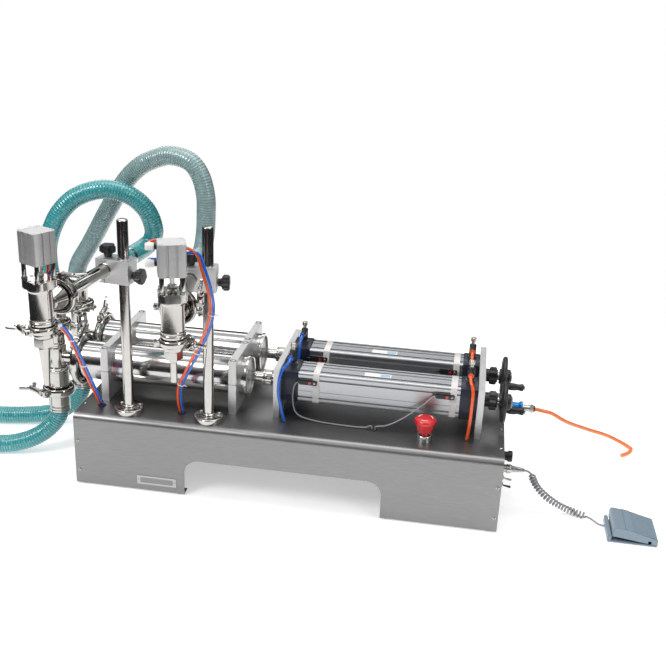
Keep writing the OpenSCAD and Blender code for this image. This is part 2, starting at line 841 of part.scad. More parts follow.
module panel_fittings() {
    color(steel) {
        translate([estop_at[0], estop_at[1], 0]) rotate_extrude() difference() {
            union() {
                translate([0, 122]) square([10.9, 26]);
                translate([0, base_h]) square([14.5, 13]);
            }
            translate([0, 100]) square([8, 80]);
        }
        for (z = toggle_z) difference() {
            union() {
                along_x(panel_x, fitting_y, z, 12, 3);
                along_x(panel_x - 2 - eps, fitting_y, z, 5.9, 2 + 2 * eps);
                translate([panel_x - 24, fitting_y - 6, z - 6]) cube([22, 12, 12]);
                along_x(panel_x + 2.9, fitting_y, z, 9, 4);
            }
            along_x(panel_x - 12, fitting_y, z, 5.4, 15.2);
            along_x(panel_x + 3, fitting_y, z, 7, 10);
        }
        // gland, its tapered tail pointing out
        translate([panel_x, fitting_y, gland_z]) rotate([0, 90, 0]) rotate_extrude() polygon([
            [2.6, -6], [5.9, -6], [5.9, 0], [9, 0], [9, 6], [7.5, 6], [7.5, 10], [8.5, 10], [8.5, 18],
            [6, 22], [4.2, 44], [2.6, 44]]);
        // pressure regulator behind its knob
        difference() {
            translate([panel_x - 34, fitting_y - 12, knob_z - 12]) cube([32, 24, 24]);
            along_x(panel_x - 14, fitting_y, knob_z, 8, 20);
        }
        panel_ring(panel_x - 2 - eps, fitting_y, knob_z, 11.9, 8, 2 + 2 * eps);
        panel_ring(panel_x, fitting_y, knob_z, 17, 8, 3);
        // hand slide valve for the air supply
        panel_ring(panel_x - 14, inlet_at[1], inlet_at[2], 11.9, 7, 14 + eps);
        panel_ring(panel_x, inlet_at[1], inlet_at[2], 18, 7, 10);
        panel_ring(panel_x + 10 - eps, inlet_at[1], inlet_at[2], 14, 7, 44);
        translate([panel_x + 54 - 2 * eps, inlet_at[1], inlet_at[2]]) rotate([0, 90, 0]) difference() {
            cylinder(d = 15, h = 10, $fn = 6);
            translate([0, 0, -1]) cylinder(d = 7, h = 12);
        }
    }
    color(black) for (g = grommets) translate([g[0], g[1], base_h - 3]) difference() {
        union() {
            cylinder(r = g[2] - 1.02, h = 5);
            translate([0, 0, 3]) cylinder(r = g[2], h = 2);
        }
    }
}

module regulator_knob() {
    color(black) translate([panel_x + 3.3, fitting_y, knob_z]) rotate([0, 90, 0]) {
        difference() {
            union() {
                cylinder(d = 17, h = 6);
                translate([0, 0, 6 - eps]) cylinder(d = 21, h = 9);
            }
            for (a = [0 : 30 : 330]) rotate(a) translate([11, 0, 5]) cylinder(d = 2.6, h = 12, $fn = 8);
        }
        translate([0, 0, -14]) cylinder(d = 7.9, h = 14 + eps);
    }
}

module toggle(z) {
    color(alloy) translate([panel_x + 1, fitting_y, z]) {
        along_y(0, -1.5, 0, 4.4, 3);
        rotate([0, 100, 0]) rotate_extrude() intersection() {
            union() {
                polygon([[0, 0], [1, 0], [2.2, 19], [0, 19]]);
                translate([0, 19]) circle(2.5);
            }
            square([5, 40]);
        }
    }
}

module toggle_front() {
    toggle(toggle_z[0]);
}

module toggle_rear() {
    toggle(toggle_z[1]);
}

// Sleeve that slides on the inlet valve to open or close it
module slide_sleeve() {
    color(blue) translate([slide_x - 4, inlet_at[1], inlet_at[2]]) rotate([0, 90, 0])
    rotate_extrude() difference() {
        polygon([[0, 0], [13, 0], [13, 5], [10, 8], [10, 19], [13, 22], [13, 27], [0, 27]]);
        translate([0, -1]) square([7.1, 40]);
    }
}

// ---------------------------------------------------------------- foot pedal

module pedal_base() {
    x = pedal_x;
    y = pedal_y;
    color(grey_blue) difference() {
        union() {
            translate([x[0], y[0], 1]) cube([x[1] - x[0], y[1] - y[0], 3]);
            translate([x[0], y[0], 1]) cube([7, y[1] - y[0], 13]);
            for (b = [y[0] + 4, y[1] - 8]) hull() {
                translate([pedal_pivot[0] - 9, b, 2]) cube([18, 4, 2]);
                along_y(pedal_pivot[0], b, pedal_pivot[1], 9, 4);
            }
            translate([x[0] + 14, y[0] + 24, 4 - eps]) cube([18, 22, 7]);
        }
        along_y(pedal_pivot[0], y[0] - 1, pedal_pivot[1], 4.1, 90);
        translate([x[0] - 1, -93, 8]) rotate([0, 90, 0]) cylinder(d = 4.1, h = 10);
    }
    color(black) for (px = [x[0] + 10, x[1] - 10], py = [y[0] + 10, y[1] - 10])
        translate([px, py, 0]) cylinder(d = 10, h = 1);
}

module pedal_treadle() {
    x = pedal_x;
    y = pedal_y;
    color(grey_blue) difference() {
        translate([0, y[1], 0]) rotate([90, 0, 0]) linear_extrude(y[1] - y[0]) polygon([
            [x[0] + 8, 13], [x[0] + 8, 28], [x[0] + 12, 31], [x[0] + 30, 28], [x[0] + 30, 30],
            [x[0] + 44, 27.6], [x[0] + 44, 25.6], [x[1] - 3, 17],
            [x[1], 14], [x[1], 4.6], [x[1] - 5, 4.6], [x[0] + 15, 13]]);
        translate([0, y[1] - 3, 0]) rotate([90, 0, 0]) linear_extrude(y[1] - y[0] - 6) polygon([
            [x[0] + 10.5, -10], [x[0] + 10.5, 26], [x[0] + 14, 28], [x[0] + 44, 23], [x[1] - 4, 14.5],
            [x[1] - 3, -10]]);
    }
    color(steel) along_y(pedal_pivot[0], y[0] + 3 - eps, pedal_pivot[1], 4, y[1] - y[0] - 6 + 2 * eps);
}

// ---------------------------------------------------------------- hoses, cords and air tubes

hose_d = 36;

function turned(p, a) = [p[0] * cos(a) - p[1] * sin(a), p[0] * sin(a) + p[1] * cos(a)];

function arm_point(side, y) = let (q = turned([-arm_offset, y], side == 0 ? turn_left : turn_right))
    [pole_x[side] + q[0], pole_y + q[1], arm_z];

module hose_outlet_left() {
    color(teal) hose([
        [stack_x, front_y, 338], [stack_x - 1, front_y, 365], [-485, -29, 400], [-484, -29, 432],
        [-474, -27, 466], [-456, -22, 500], [-426, -12, 528], [-380, 0, 542], [-336, 14, 531],
        [-307, 26, 502], [-297, 36, 465], [-303, 42, 440], [-313, 32, 428],
        arm_point(0, 108), arm_point(0, arm_back)], hose_d, 2, 12,
        leave = [0, 0, 1], arrive = arm_point(0, arm_back) - arm_point(0, 108));
}

module hose_outlet_right() {
    color(grey_blue) hose([
        [stack_x, rear_y, 338], [-472, 84, 366], [-440, 74, 415], [-395, 62, 490], [-359, 54, 545],
        [-323, 46, 581], [-286, 40, 600], [-259, 35, 607], [-222, 28, 600], [-200, 24, 575],
        [-190, 22, 539], [-190, 24, 505], [-192, 26, 470], [-195, 22, 442], [-196, 8, 428],
        arm_point(1, 102), arm_point(1, arm_back)], hose_d, 2, 12,
        leave = [0, 0, 1], arrive = arm_point(1, arm_back) - arm_point(1, 102));
}

module hose_inlet_front() {
    color(teal) hose([
        [stack_x, front_y, 92], [-484, -32, 76], [-497, -38, 57], [-515, -46, 41], [-541, -55, 28],
        [-571, -62, 20], [-600, -68, 18], [-660, -84, 18], [-725, -115, 18], [-780, -175, 18],
        [-800, -255, 18], [-765, -330, 18], [-690, -375, 18]], hose_d, 2, 12, leave = [0, 0, -1]);
}

module hose_inlet_rear() {
    color(teal) hose([
        [stack_x, rear_y, 92], [-485, 86, 77], [-497, 85, 58], [-515, 81, 41], [-545, 76, 27],
        [-581, 71, 20], [-623, 62, 18], [-658, 55, 18], [-740, 40, 18], [-830, 35, 18],
        [-910, 60, 18], [-955, 130, 18], [-950, 205, 18]], hose_d, 2, 12, leave = [0, 0, -1]);
}

module supply_tube() {
    y = inlet_at[1];
    z = inlet_at[2];
    color(orange) hose([
        [panel_x + 64, y, z], [480, y + 1, z - 3], [500, y + 8, 118], [530, 150, 96], [560, 175, 76],
        [592, 205, 55], [630, 235, 33], [662, 250, 14], [681, 250, 4.5], [686, 240, 4],
        [678, 222, 4], [662, 206, 4]], 8, 2, 8, leave = [1, 0, 0]);
}

// Curly part of the pedal's cord, as one tube of its outer diameter
module pedal_cord_curl() {
    x = panel_x;
    color([0.45, 0.48, 0.5]) hose([[x + 56, fitting_y, 80], [x + 70, -59, 54], [x + 92, -57, 32],
        [x + 120, -56, 16], [x + 145, -58, 8.2], [x + 166, -68, 8]], 15, 2, 12,
        leave = [14, 1, -26], arrive = [21, -10, 0]);
}

// Plain ends of the pedal's cord
module pedal_cord_leads() {
    x = panel_x;
    color([0.45, 0.48, 0.5]) {
        hose([[x + 44, fitting_y, gland_z], [x + 51, fitting_y, gland_z - 2], [x + 56, fitting_y, 80]],
            4, 3, 8, [0, 1, 0], leave = [1, 0, 0], arrive = [14, 1, -26]);
        hose([[x + 166, -68, 8], [575, -76, 8], [583, -87, 8], [590, -92.5, 8], [pedal_x[0], -93, 8]],
            4, 3, 8, [0, 0, 1], leave = [21, -10, 0], arrive = [1, 0, 0]);
    }
}

// Point given in a nozzle cylinder's own frame
function head_point(side, p) = let (
    t = side == 0 ? turn_left : turn_right,
    q = turned([p[0], p[1]], side == 0 ? head_turn_left : head_turn_right),
    w = turned([q[0] - arm_offset, q[1] - reach(side)], t)
) [pole_x[side] + w[0], pole_y + w[1], body_top + stand_h + p[2]];

// Two air tubes of a nozzle, from its elbows down to the base's grommet
module nozzle_tubes(side) {
    g = grommets[side];
    for (i = [0, 1]) color(i == 0 ? orange : blue) {
        z = elbow_z[i];
        w = 6 * i;
        start = [head_point(side, [-33, 14, z]), head_point(side, [-33, 22, z])];
        end = [g[0] - 2.8 + 5.6 * i, g[1], base_h + 2];
        if (side == 0) hose(concat(start, [
            head_point(0, [-22, 33 - w / 3, z - 6 + w]), [-363 + w, -292, 496], [-362 + w, -292, 474],
            [-374 - w / 2, -292, 450], [-383 - w / 2, -292 + w, 425], [-378 + w / 2, -280, 396],
            [-368 + w, -256, 368], [-365 + w, -225, 333], [-365 + w, -190, 282], [-365 + w, -145, 212],
            end]), 5, 2, 8, leave = start[1] - start[0], arrive = [0, 0, -1]);
        else hose(concat(start, [
            head_point(1, [-20, 33 - w / 3, z - w / 2]), head_point(1, [4, 34 - w / 3, z - 6 + w]),
            [-117 + w / 2, -292, 526], [-106 + w, -296, 500], [-98 + w, -292, 468],
            [-98 + w, -278, 440], [-108 + w, -245, 406], [-124 + w, -214, 366], [-148 + w, -182, 318],
            [-178 + w, -150, 262], [-203 + w, -122, 212], [-209 + w, -106, 176], end]), 5, 2, 8,
            leave = start[1] - start[0], arrive = [0, 0, -1]);
    }
}

module nozzle_tubes_left() {
    nozzle_tubes(0);
}

module nozzle_tubes_right() {
    nozzle_tubes(1);
}

// Tubes from the speed elbows and leads of the two front sensors
module air_tubes() {
    e = axis_z + cap_s / 2 + 23;
    for (i = [0, 1]) color(i == 0 ? blue : orange) {
        x = valve_x[i];
        g = grommets[3 + i];
        hose([[x, front_y - 28, e], [x, -72, e - 2], [x + (i == 0 ? -12 : 6), -84, 245],
            [x + (i == 0 ? -16 : 6), -88, 210], [x + (i == 0 ? -10 : 5), -88, 175], [g[0], g[1], base_h + 2]],
            6, 3, 8, leave = [0, -1, 0], arrive = [0, 0, -1]);
        h = grommets[5 + i];
        hose([[x, rear_y - 28, e], [x, 45, e - 2], [x, 33, 250], [x + (i == 0 ? -1 : 3), 28, 210],
            [h[0], h[1], 180], [h[0], h[1], base_h + 2]], 6, 3, 8, leave = [0, -1, 0], arrive = [0, 0, -1]);
    }
    g = grommets[2];
    y = front_y - 34.4;
    z = axis_z + 12.5;
    color([0.5, 0.5, 0.52]) {
        hose([[268, y, z], [262, -66.5, 218], [240, -72, 197], [206, -78, 171], [182, -83, 159],
            [168, -84, 156.5], [g[0] + 3.2, g[1], 154.5], [g[0] + 3, g[1], base_h + 2]],
            3, 2, 8, leave = [-1, 0, 0], arrive = [0, 0, -1]);
        hose([[12, y, z], [4, -66, 213], [2, -68, 185], [12, -72, 158], [50, -78, 150.2],
            [110, -84, 150.2], [g[0] - 16, g[1], 151], [g[0] - 9, g[1], 154.5],
            [g[0] - 4, g[1], 155], [g[0] - 3, g[1], base_h + 2]],
            3, 2, 8, leave = [-1, 0, 0], arrive = [0, 0, -1]);
    }
}

// ---------------------------------------------------------------- assembly

// The modules measure from the middle of the base. The origin is on the bench under the middle
// of the whole machine, nozzles and pedal included.
module in_place() {
    translate([-67, 104, 0]) children();
}

in_place() base_cover();
in_place() end_panels();
in_place() rubber_feet();
in_place() nameplate_and_screws();
in_place() valve_bank();
in_place() clamp_plates_lower();
in_place() clamp_plates_upper();
in_place() fill_tubes();
in_place() valve_tees();
in_place() check_valves();
in_place() hose_tails();
in_place() pipe_clamps();
in_place() fill_piston_front();
in_place() fill_piston_rear();
in_place() piston_rod_front();
in_place() piston_rod_rear();
in_place() air_plates();
in_place() air_barrels();
in_place() air_caps();
in_place() speed_valves();
in_place() reed_sensors();
in_place() handwheel_front();
in_place() handwheel_rear();
in_place() crank_handle_front();
in_place() crank_handle_rear();
in_place() poles();
in_place() cross_clamp_left();
in_place() cross_clamp_right();
in_place() pole_knob_left();
in_place() pole_knob_right();
in_place() arm_knob_left();
in_place() arm_knob_right();
in_place() arm_left();
in_place() arm_right();
in_place() nozzle_body_left();
in_place() nozzle_body_right();
in_place() nozzle_cylinder_left();
in_place() nozzle_cylinder_right();
in_place() nozzle_stem_left();
in_place() nozzle_stem_right();
in_place() nozzle_spout_left();
in_place() nozzle_spout_right();
in_place() estop_button();
in_place() panel_fittings();
in_place() regulator_knob();
in_place() toggle_front();
in_place() toggle_rear();
in_place() slide_sleeve();
in_place() pedal_base();
in_place() pedal_treadle();
in_place() hose_outlet_left();
in_place() hose_outlet_right();
in_place() hose_inlet_front();
in_place() hose_inlet_rear();
in_place() supply_tube();
in_place() pedal_cord_curl();
in_place() pedal_cord_leads();
in_place() nozzle_tubes_left();
in_place() nozzle_tubes_right();
in_place() air_tubes();
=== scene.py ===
"""Looks of the double-head piston filler, in millimetres from the middle of the base, on the bench."""
import json
from math import asin, atan2, cos, pi, radians, sin, sqrt

import bmesh
import bpy
from mathutils import Matrix, Vector


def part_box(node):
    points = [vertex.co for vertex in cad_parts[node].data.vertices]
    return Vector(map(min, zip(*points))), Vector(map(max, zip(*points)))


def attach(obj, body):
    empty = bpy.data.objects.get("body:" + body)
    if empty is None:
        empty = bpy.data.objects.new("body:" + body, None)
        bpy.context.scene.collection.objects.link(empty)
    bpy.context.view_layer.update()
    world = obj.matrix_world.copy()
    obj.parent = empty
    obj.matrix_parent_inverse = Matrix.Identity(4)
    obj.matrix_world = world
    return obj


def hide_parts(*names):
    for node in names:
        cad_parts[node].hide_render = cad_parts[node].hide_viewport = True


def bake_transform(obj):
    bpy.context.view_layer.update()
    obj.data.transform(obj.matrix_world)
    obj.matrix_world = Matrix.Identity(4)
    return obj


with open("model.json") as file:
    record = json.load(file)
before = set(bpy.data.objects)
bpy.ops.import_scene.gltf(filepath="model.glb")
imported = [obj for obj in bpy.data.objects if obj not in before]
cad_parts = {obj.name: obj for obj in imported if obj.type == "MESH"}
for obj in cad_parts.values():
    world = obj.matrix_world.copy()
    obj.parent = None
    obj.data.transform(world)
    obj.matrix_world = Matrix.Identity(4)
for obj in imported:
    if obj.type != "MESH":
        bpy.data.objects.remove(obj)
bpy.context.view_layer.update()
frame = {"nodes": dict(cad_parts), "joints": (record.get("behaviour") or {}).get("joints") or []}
MM = 0.001

# ---- places, read from the frame ----


lo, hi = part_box("base_cover")
MIDDLE = Vector(((lo.x + hi.x) / 2, (lo.y + hi.y) / 2, 0))   # the middle of the base, in the frame


def to_frame(p):
    return MIDDLE + Vector(p) * MM


def box(node):
    lo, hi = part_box(node)
    return (lo - MIDDLE) / MM, (hi - MIDDLE) / MM


def centre(node):
    lo, hi = box(node)
    return (lo + hi) / 2


SIDES = ("left", "right")
ROWS = ("front", "rear")
BASE_HI = box("base_cover")[1]
TOP = BASE_HI.z
AXIS = {r: centre("fill_piston_" + r) for r in ROWS}
AXIS_Z = AXIS["front"].z
TUBE_LO, TUBE_HI = box("fill_tubes")
STACK_X = centre("hose_tails").x
TURN = {}
for joint in frame["joints"]:
    for s in SIDES:
        if joint["name"] == "pole_knob_turn_" + s:
            TURN[s] = atan2(joint["axis"][1], joint["axis"][0])
HEAD_TURN = {"left": radians(-19), "right": radians(12)}
NOZZLE = {s: centre("nozzle_spout_" + s) for s in SIDES}
ARM_Z = {s: centre("arm_" + s).z for s in SIDES}
ARM_X = -30          # the arm pipe from its pole, along the cross clamp
HOSE_END = 84        # the hose on the arm pipe, behind the pole
FERRULE_R = 25.25    # half the 50.5 mm ferrule
STANDOFF = 27        # under the air cylinder of a nozzle


def place(origin, z=(0, 0, 1), x=None):
    """Matrix that puts a local frame's Z along z, and its X as near x as it can be."""
    z = Vector(z).normalized()
    x = Vector(x) if x else Vector((1, 0, 0)) if abs(z.x) < 0.9 else Vector((0, 1, 0))
    y = z.cross(x).normalized()
    x = y.cross(z)
    m = Matrix((x, y, z)).transposed().to_4x4()
    m.translation = Vector(origin)
    return m


def spin(angle, axis="Z"):
    return Matrix.Rotation(angle, 4, axis)


def shift(x, y, z):
    return Matrix.Translation((x, y, z))


def along_x(x, y, z):
    """Frame at the point, with its Z along the machine's X and its X along the machine's Y."""
    return place((x, y, z), (1, 0, 0), (0, 1, 0))


def on_axis(x, row):
    """The same on the axis of a row's cylinders."""
    return along_x(x, AXIS[row].y, AXIS_Z)


# turns that point a local Z to the back, the front, the right and the left
TO_BACK, TO_FRONT = spin(-pi / 2, "X"), spin(pi / 2, "X")
TO_RIGHT, TO_LEFT = spin(pi / 2, "Y"), spin(-pi / 2, "Y")


def nozzle_frame(side):
    return shift(NOZZLE[side].x, NOZZLE[side].y, 0) @ spin(TURN[side])


def head_frame(side):
    lo = box("nozzle_cylinder_" + side)[0]
    return shift(NOZZLE[side].x, NOZZLE[side].y, lo.z) @ spin(TURN[side] + HEAD_TURN[side])


# ---- materials ----


class Graph:
    """The nodes of a material or a world."""

    def __init__(self, tree):
        self.nodes, self.links = tree.nodes, tree.links

    def put(self, node, socket, value):
        """Links an input to another node's output, or sets it to a constant."""
        if isinstance(value, bpy.types.NodeSocket):
            self.links.new(value, node.inputs[socket])
        else:
            node.inputs[socket].default_value = value

    def add(self, kind, output, inputs=None, **settings):
        """A new node with its inputs and settings. Returns one of its outputs."""
        n = self.nodes.new("ShaderNode" + kind)
        for name, value in settings.items():
            setattr(n, name, value)
        for socket, value in (inputs or {}).items():
            self.put(n, socket, value)
        return n.outputs[output]

    def maths(self, operation, *values):
        return self.add("Math", 0, dict(enumerate(values)), operation=operation)

    def mix(self, factor, a, b):
        return self.add("Mix", "Result", {"Factor": factor, "A": a, "B": b}, data_type="RGBA")

    def ramp(self, factor, stops):
        """Colour ramp through stops of (position, colour), the first and the last of which are its ends."""
        color = self.add("ValToRGB", "Color", {"Fac": factor})
        points = color.node.color_ramp.elements
        for point, (at, _) in zip(points, (stops[0], stops[-1])):
            point.position = at
        for at, _ in stops[1:-1]:
            points.new(at)
        for point, (_, tone) in zip(points, stops):
            point.color = (*tone, 1)
        return color


def surface(name, color, metallic=0.0, rough=0.4, vary=0.06, scale=60, stretch=(1, 1, 1), bump=0.0,
        rough_vary=0.08, coat=0.0, emit=0.0):
    """Material whose colour and roughness wander with a noise, and what a richer one is built on."""
    m = bpy.data.materials.new(name)
    m.use_nodes = True
    g = Graph(m.node_tree)
    where = g.add("TexCoord", "Object")
    grain = g.add("Mapping", "Vector", {"Vector": where, "Scale": stretch})
    noise = g.add("TexNoise", "Fac", {"Vector": grain, "Scale": scale, "Detail": 3})
    tone = g.ramp(noise, ((0.3, [c * (1 - vary) for c in color]), (0.7,
        [min(1, c * (1 + vary)) for c in color])))
    spread = {"Value": noise, "To Min": max(0.02, rough - rough_vary), "To Max": min(1, rough + rough_vary)}
    inputs = {"Base Color": tone, "Roughness": g.add("MapRange", "Result", spread), "Metallic": metallic,
        "Coat Weight": coat}
    if emit:
        inputs.update({"Emission Color": (*color, 1), "Emission Strength": emit})
    if bump:
        inputs["Normal"] = g.add("Bump", "Normal", {"Strength": bump, "Distance": 0.0004, "Height": noise})
    shader = g.nodes["Principled BSDF"]
    for socket, value in inputs.items():
        g.put(shader, socket, value)
    return m, g, shader, where, tone


def material(*args, **words):
    return surface(*args, **words)[0]


def hose_material(name, body, line, glint, pitch, stripes=False):
    """Clear hose with a wire spiral: lines across it, painted highlight glints between, and stripes along it.
    """
    m, g, shader, where, tone = surface(name, body, rough=0.22, vary=0.12, scale=90, coat=0.6)
    split = g.add("SeparateXYZ", "X", {"Vector": g.add("UVMap", "UV", uv_map="along")}).node
    length, angle = split.outputs["X"], split.outputs["Y"]
    turn = g.maths("FRACT", g.maths("ADD", g.maths("MULTIPLY", length, 1 / pitch), angle))
    wire = g.maths("LESS_THAN", g.maths("ABSOLUTE", g.maths("SUBTRACT", turn, 0.5)), 0.13)
    # painted highlights: pale glint flecks from a fine noise, mixed into the hose colour
    painted_glint_noise = g.add("TexNoise", "Fac", {"Vector": where, "Scale": 260})
    bright = g.maths("MULTIPLY", g.maths("GREATER_THAN", painted_glint_noise, 0.62), 0.55)
    color = g.mix(bright, tone, (*glint, 1))
    color = g.mix(g.maths("MULTIPLY", wire, 0.8), color, (*line, 1))
    if stripes:
        for at in (0.12, 0.30):
            band = g.maths("LESS_THAN", g.maths("ABSOLUTE", g.maths("SUBTRACT", angle, at)), 0.012)
            color = g.mix(band, color, (0.16, 0.03, 0.05, 1))
    g.put(shader, "Base Color", color)
    return m


BRUSHED = material("brushed_base", (0.26, 0.26, 0.258), 1, 0.40, 0.10, 40, (1.5, 40, 40), 0.12, 0.06)
STEEL = material("polished_steel", (0.50, 0.485, 0.46), 1, 0.12, 0.06, 55, (1, 1, 1), 0.02, 0.05)
TUBE_STEEL = material("honed_tube", (0.50, 0.495, 0.485), 1, 0.15, 0.07, 60, (12, 1, 1), 0.03, 0.05)
PLATED = material("plated_steel", (0.50, 0.50, 0.48), 1, 0.22, 0.08, 120, (1, 1, 1), 0.04)
ALLOY = material("satin_alloy", (0.62, 0.62, 0.62), 0.85, 0.42, 0.05, 90, (1, 1, 6), 0.08)
BARREL = material("drawn_barrel", (0.47, 0.48, 0.495), 1, 0.36, 0.05, 70, (0.3, 8, 8), 0.05, 0.05)
CAP = material("blue_black_paint", (0.010, 0.014, 0.030), 0, 0.45, 0.15, 200, bump=0.05, coat=0.1)
BLACK = material("black_moulding", (0.012, 0.012, 0.013), 0, 0.38, 0.25, 220, bump=0.06)
RUBBER = material("black_rubber", (0.02, 0.02, 0.02), 0, 0.7, 0.2, 300, bump=0.1)
WHITE = material("white_plastic", (0.80, 0.80, 0.77), 0, 0.35, 0.03, 80)
RED = material("stop_red", (0.62, 0.012, 0.016), 0, 0.25, 0.05, 60, coat=0.5)
BRASS = material("nickel_brass", (0.56, 0.52, 0.46), 1, 0.28, 0.08, 120)
LABEL_BLUE = material("label_blue", (0.32, 0.50, 0.66), 0, 0.45, 0.03, 80)
BLUE_METAL = material("blue_anodised", (0.01, 0.20, 0.55), 0.6, 0.28, 0.08, 120)
PEDAL = material("pedal_enamel", (0.23, 0.30, 0.36), 0.1, 0.45, 0.08, 500, bump=0.25, coat=0.1)
CORD = material("grey_jacket", (0.27, 0.28, 0.29), 0, 0.5, 0.08, 200, bump=0.05)
ORANGE = material("orange_tube", (0.88, 0.10, 0.012), 0, 0.22, 0.06, 60, coat=0.4)
PALE_ORANGE = material("supply_orange", (0.90, 0.22, 0.05), 0, 0.3, 0.06, 60, coat=0.3)
BLUE = material("blue_tube", (0.012, 0.13, 0.62), 0, 0.22, 0.06, 60, coat=0.4)
TIE = material("clear_tie", (0.72, 0.70, 0.68), 0, 0.3, 0.04, 80)
PLATE = material("blank_plate", (0.50, 0.51, 0.52), 0.6, 0.45, 0.06, 120, (8, 1, 1))
# the third colour of each hose is its painted highlight glints
TEAL = hose_material("teal_hose", (0.05, 0.33, 0.35), (0.015, 0.16, 0.19), (0.36, 0.66, 0.66), 0.0052)
PALE = hose_material("pale_hose", (0.26, 0.38, 0.38), (0.14, 0.24, 0.25), (0.56, 0.64, 0.63), 0.0048, True)
FLOOR = material("studio_floor", (0.86, 0.86, 0.86), 0, 0.8, 0.01, 2, emit=0.5)

# ---- building meshes ----


def show(name, data):
    """A new object in the scene."""
    o = bpy.data.objects.new(name, data)
    bpy.context.scene.collection.objects.link(o)
    return o


def eased(points, r, closed=False):
    """The outline with each corner cut by a small arc of about r."""
    out, n = [], len(points)
    for i, p in enumerate(points):
        if not closed and i in (0, n - 1):
            out.append(p)
            continue
        p = Vector((p[0], p[1]))
        a, b = Vector(points[i - 1][:2]) - p, Vector(points[(i + 1) % n][:2]) - p
        cut = min(r, a.length * 0.45, b.length * 0.45)
        if cut < 0.05 or a.length < 1e-6 or b.length < 1e-6 or abs(a.angle(b, pi) - pi) < 0.15:
            out.append(tuple(p))
            continue
        a, b = p + a.normalized() * cut, p + b.normalized() * cut
        for t in (0, 0.33, 0.67, 1):
            out.append(tuple(a * (1 - t) ** 2 + p * 2 * t * (1 - t) + b * t * t))
    return out


def ring_of(r, n):
    return [(r * cos(2 * pi * k / n), r * sin(2 * pi * k / n)) for k in range(n)]


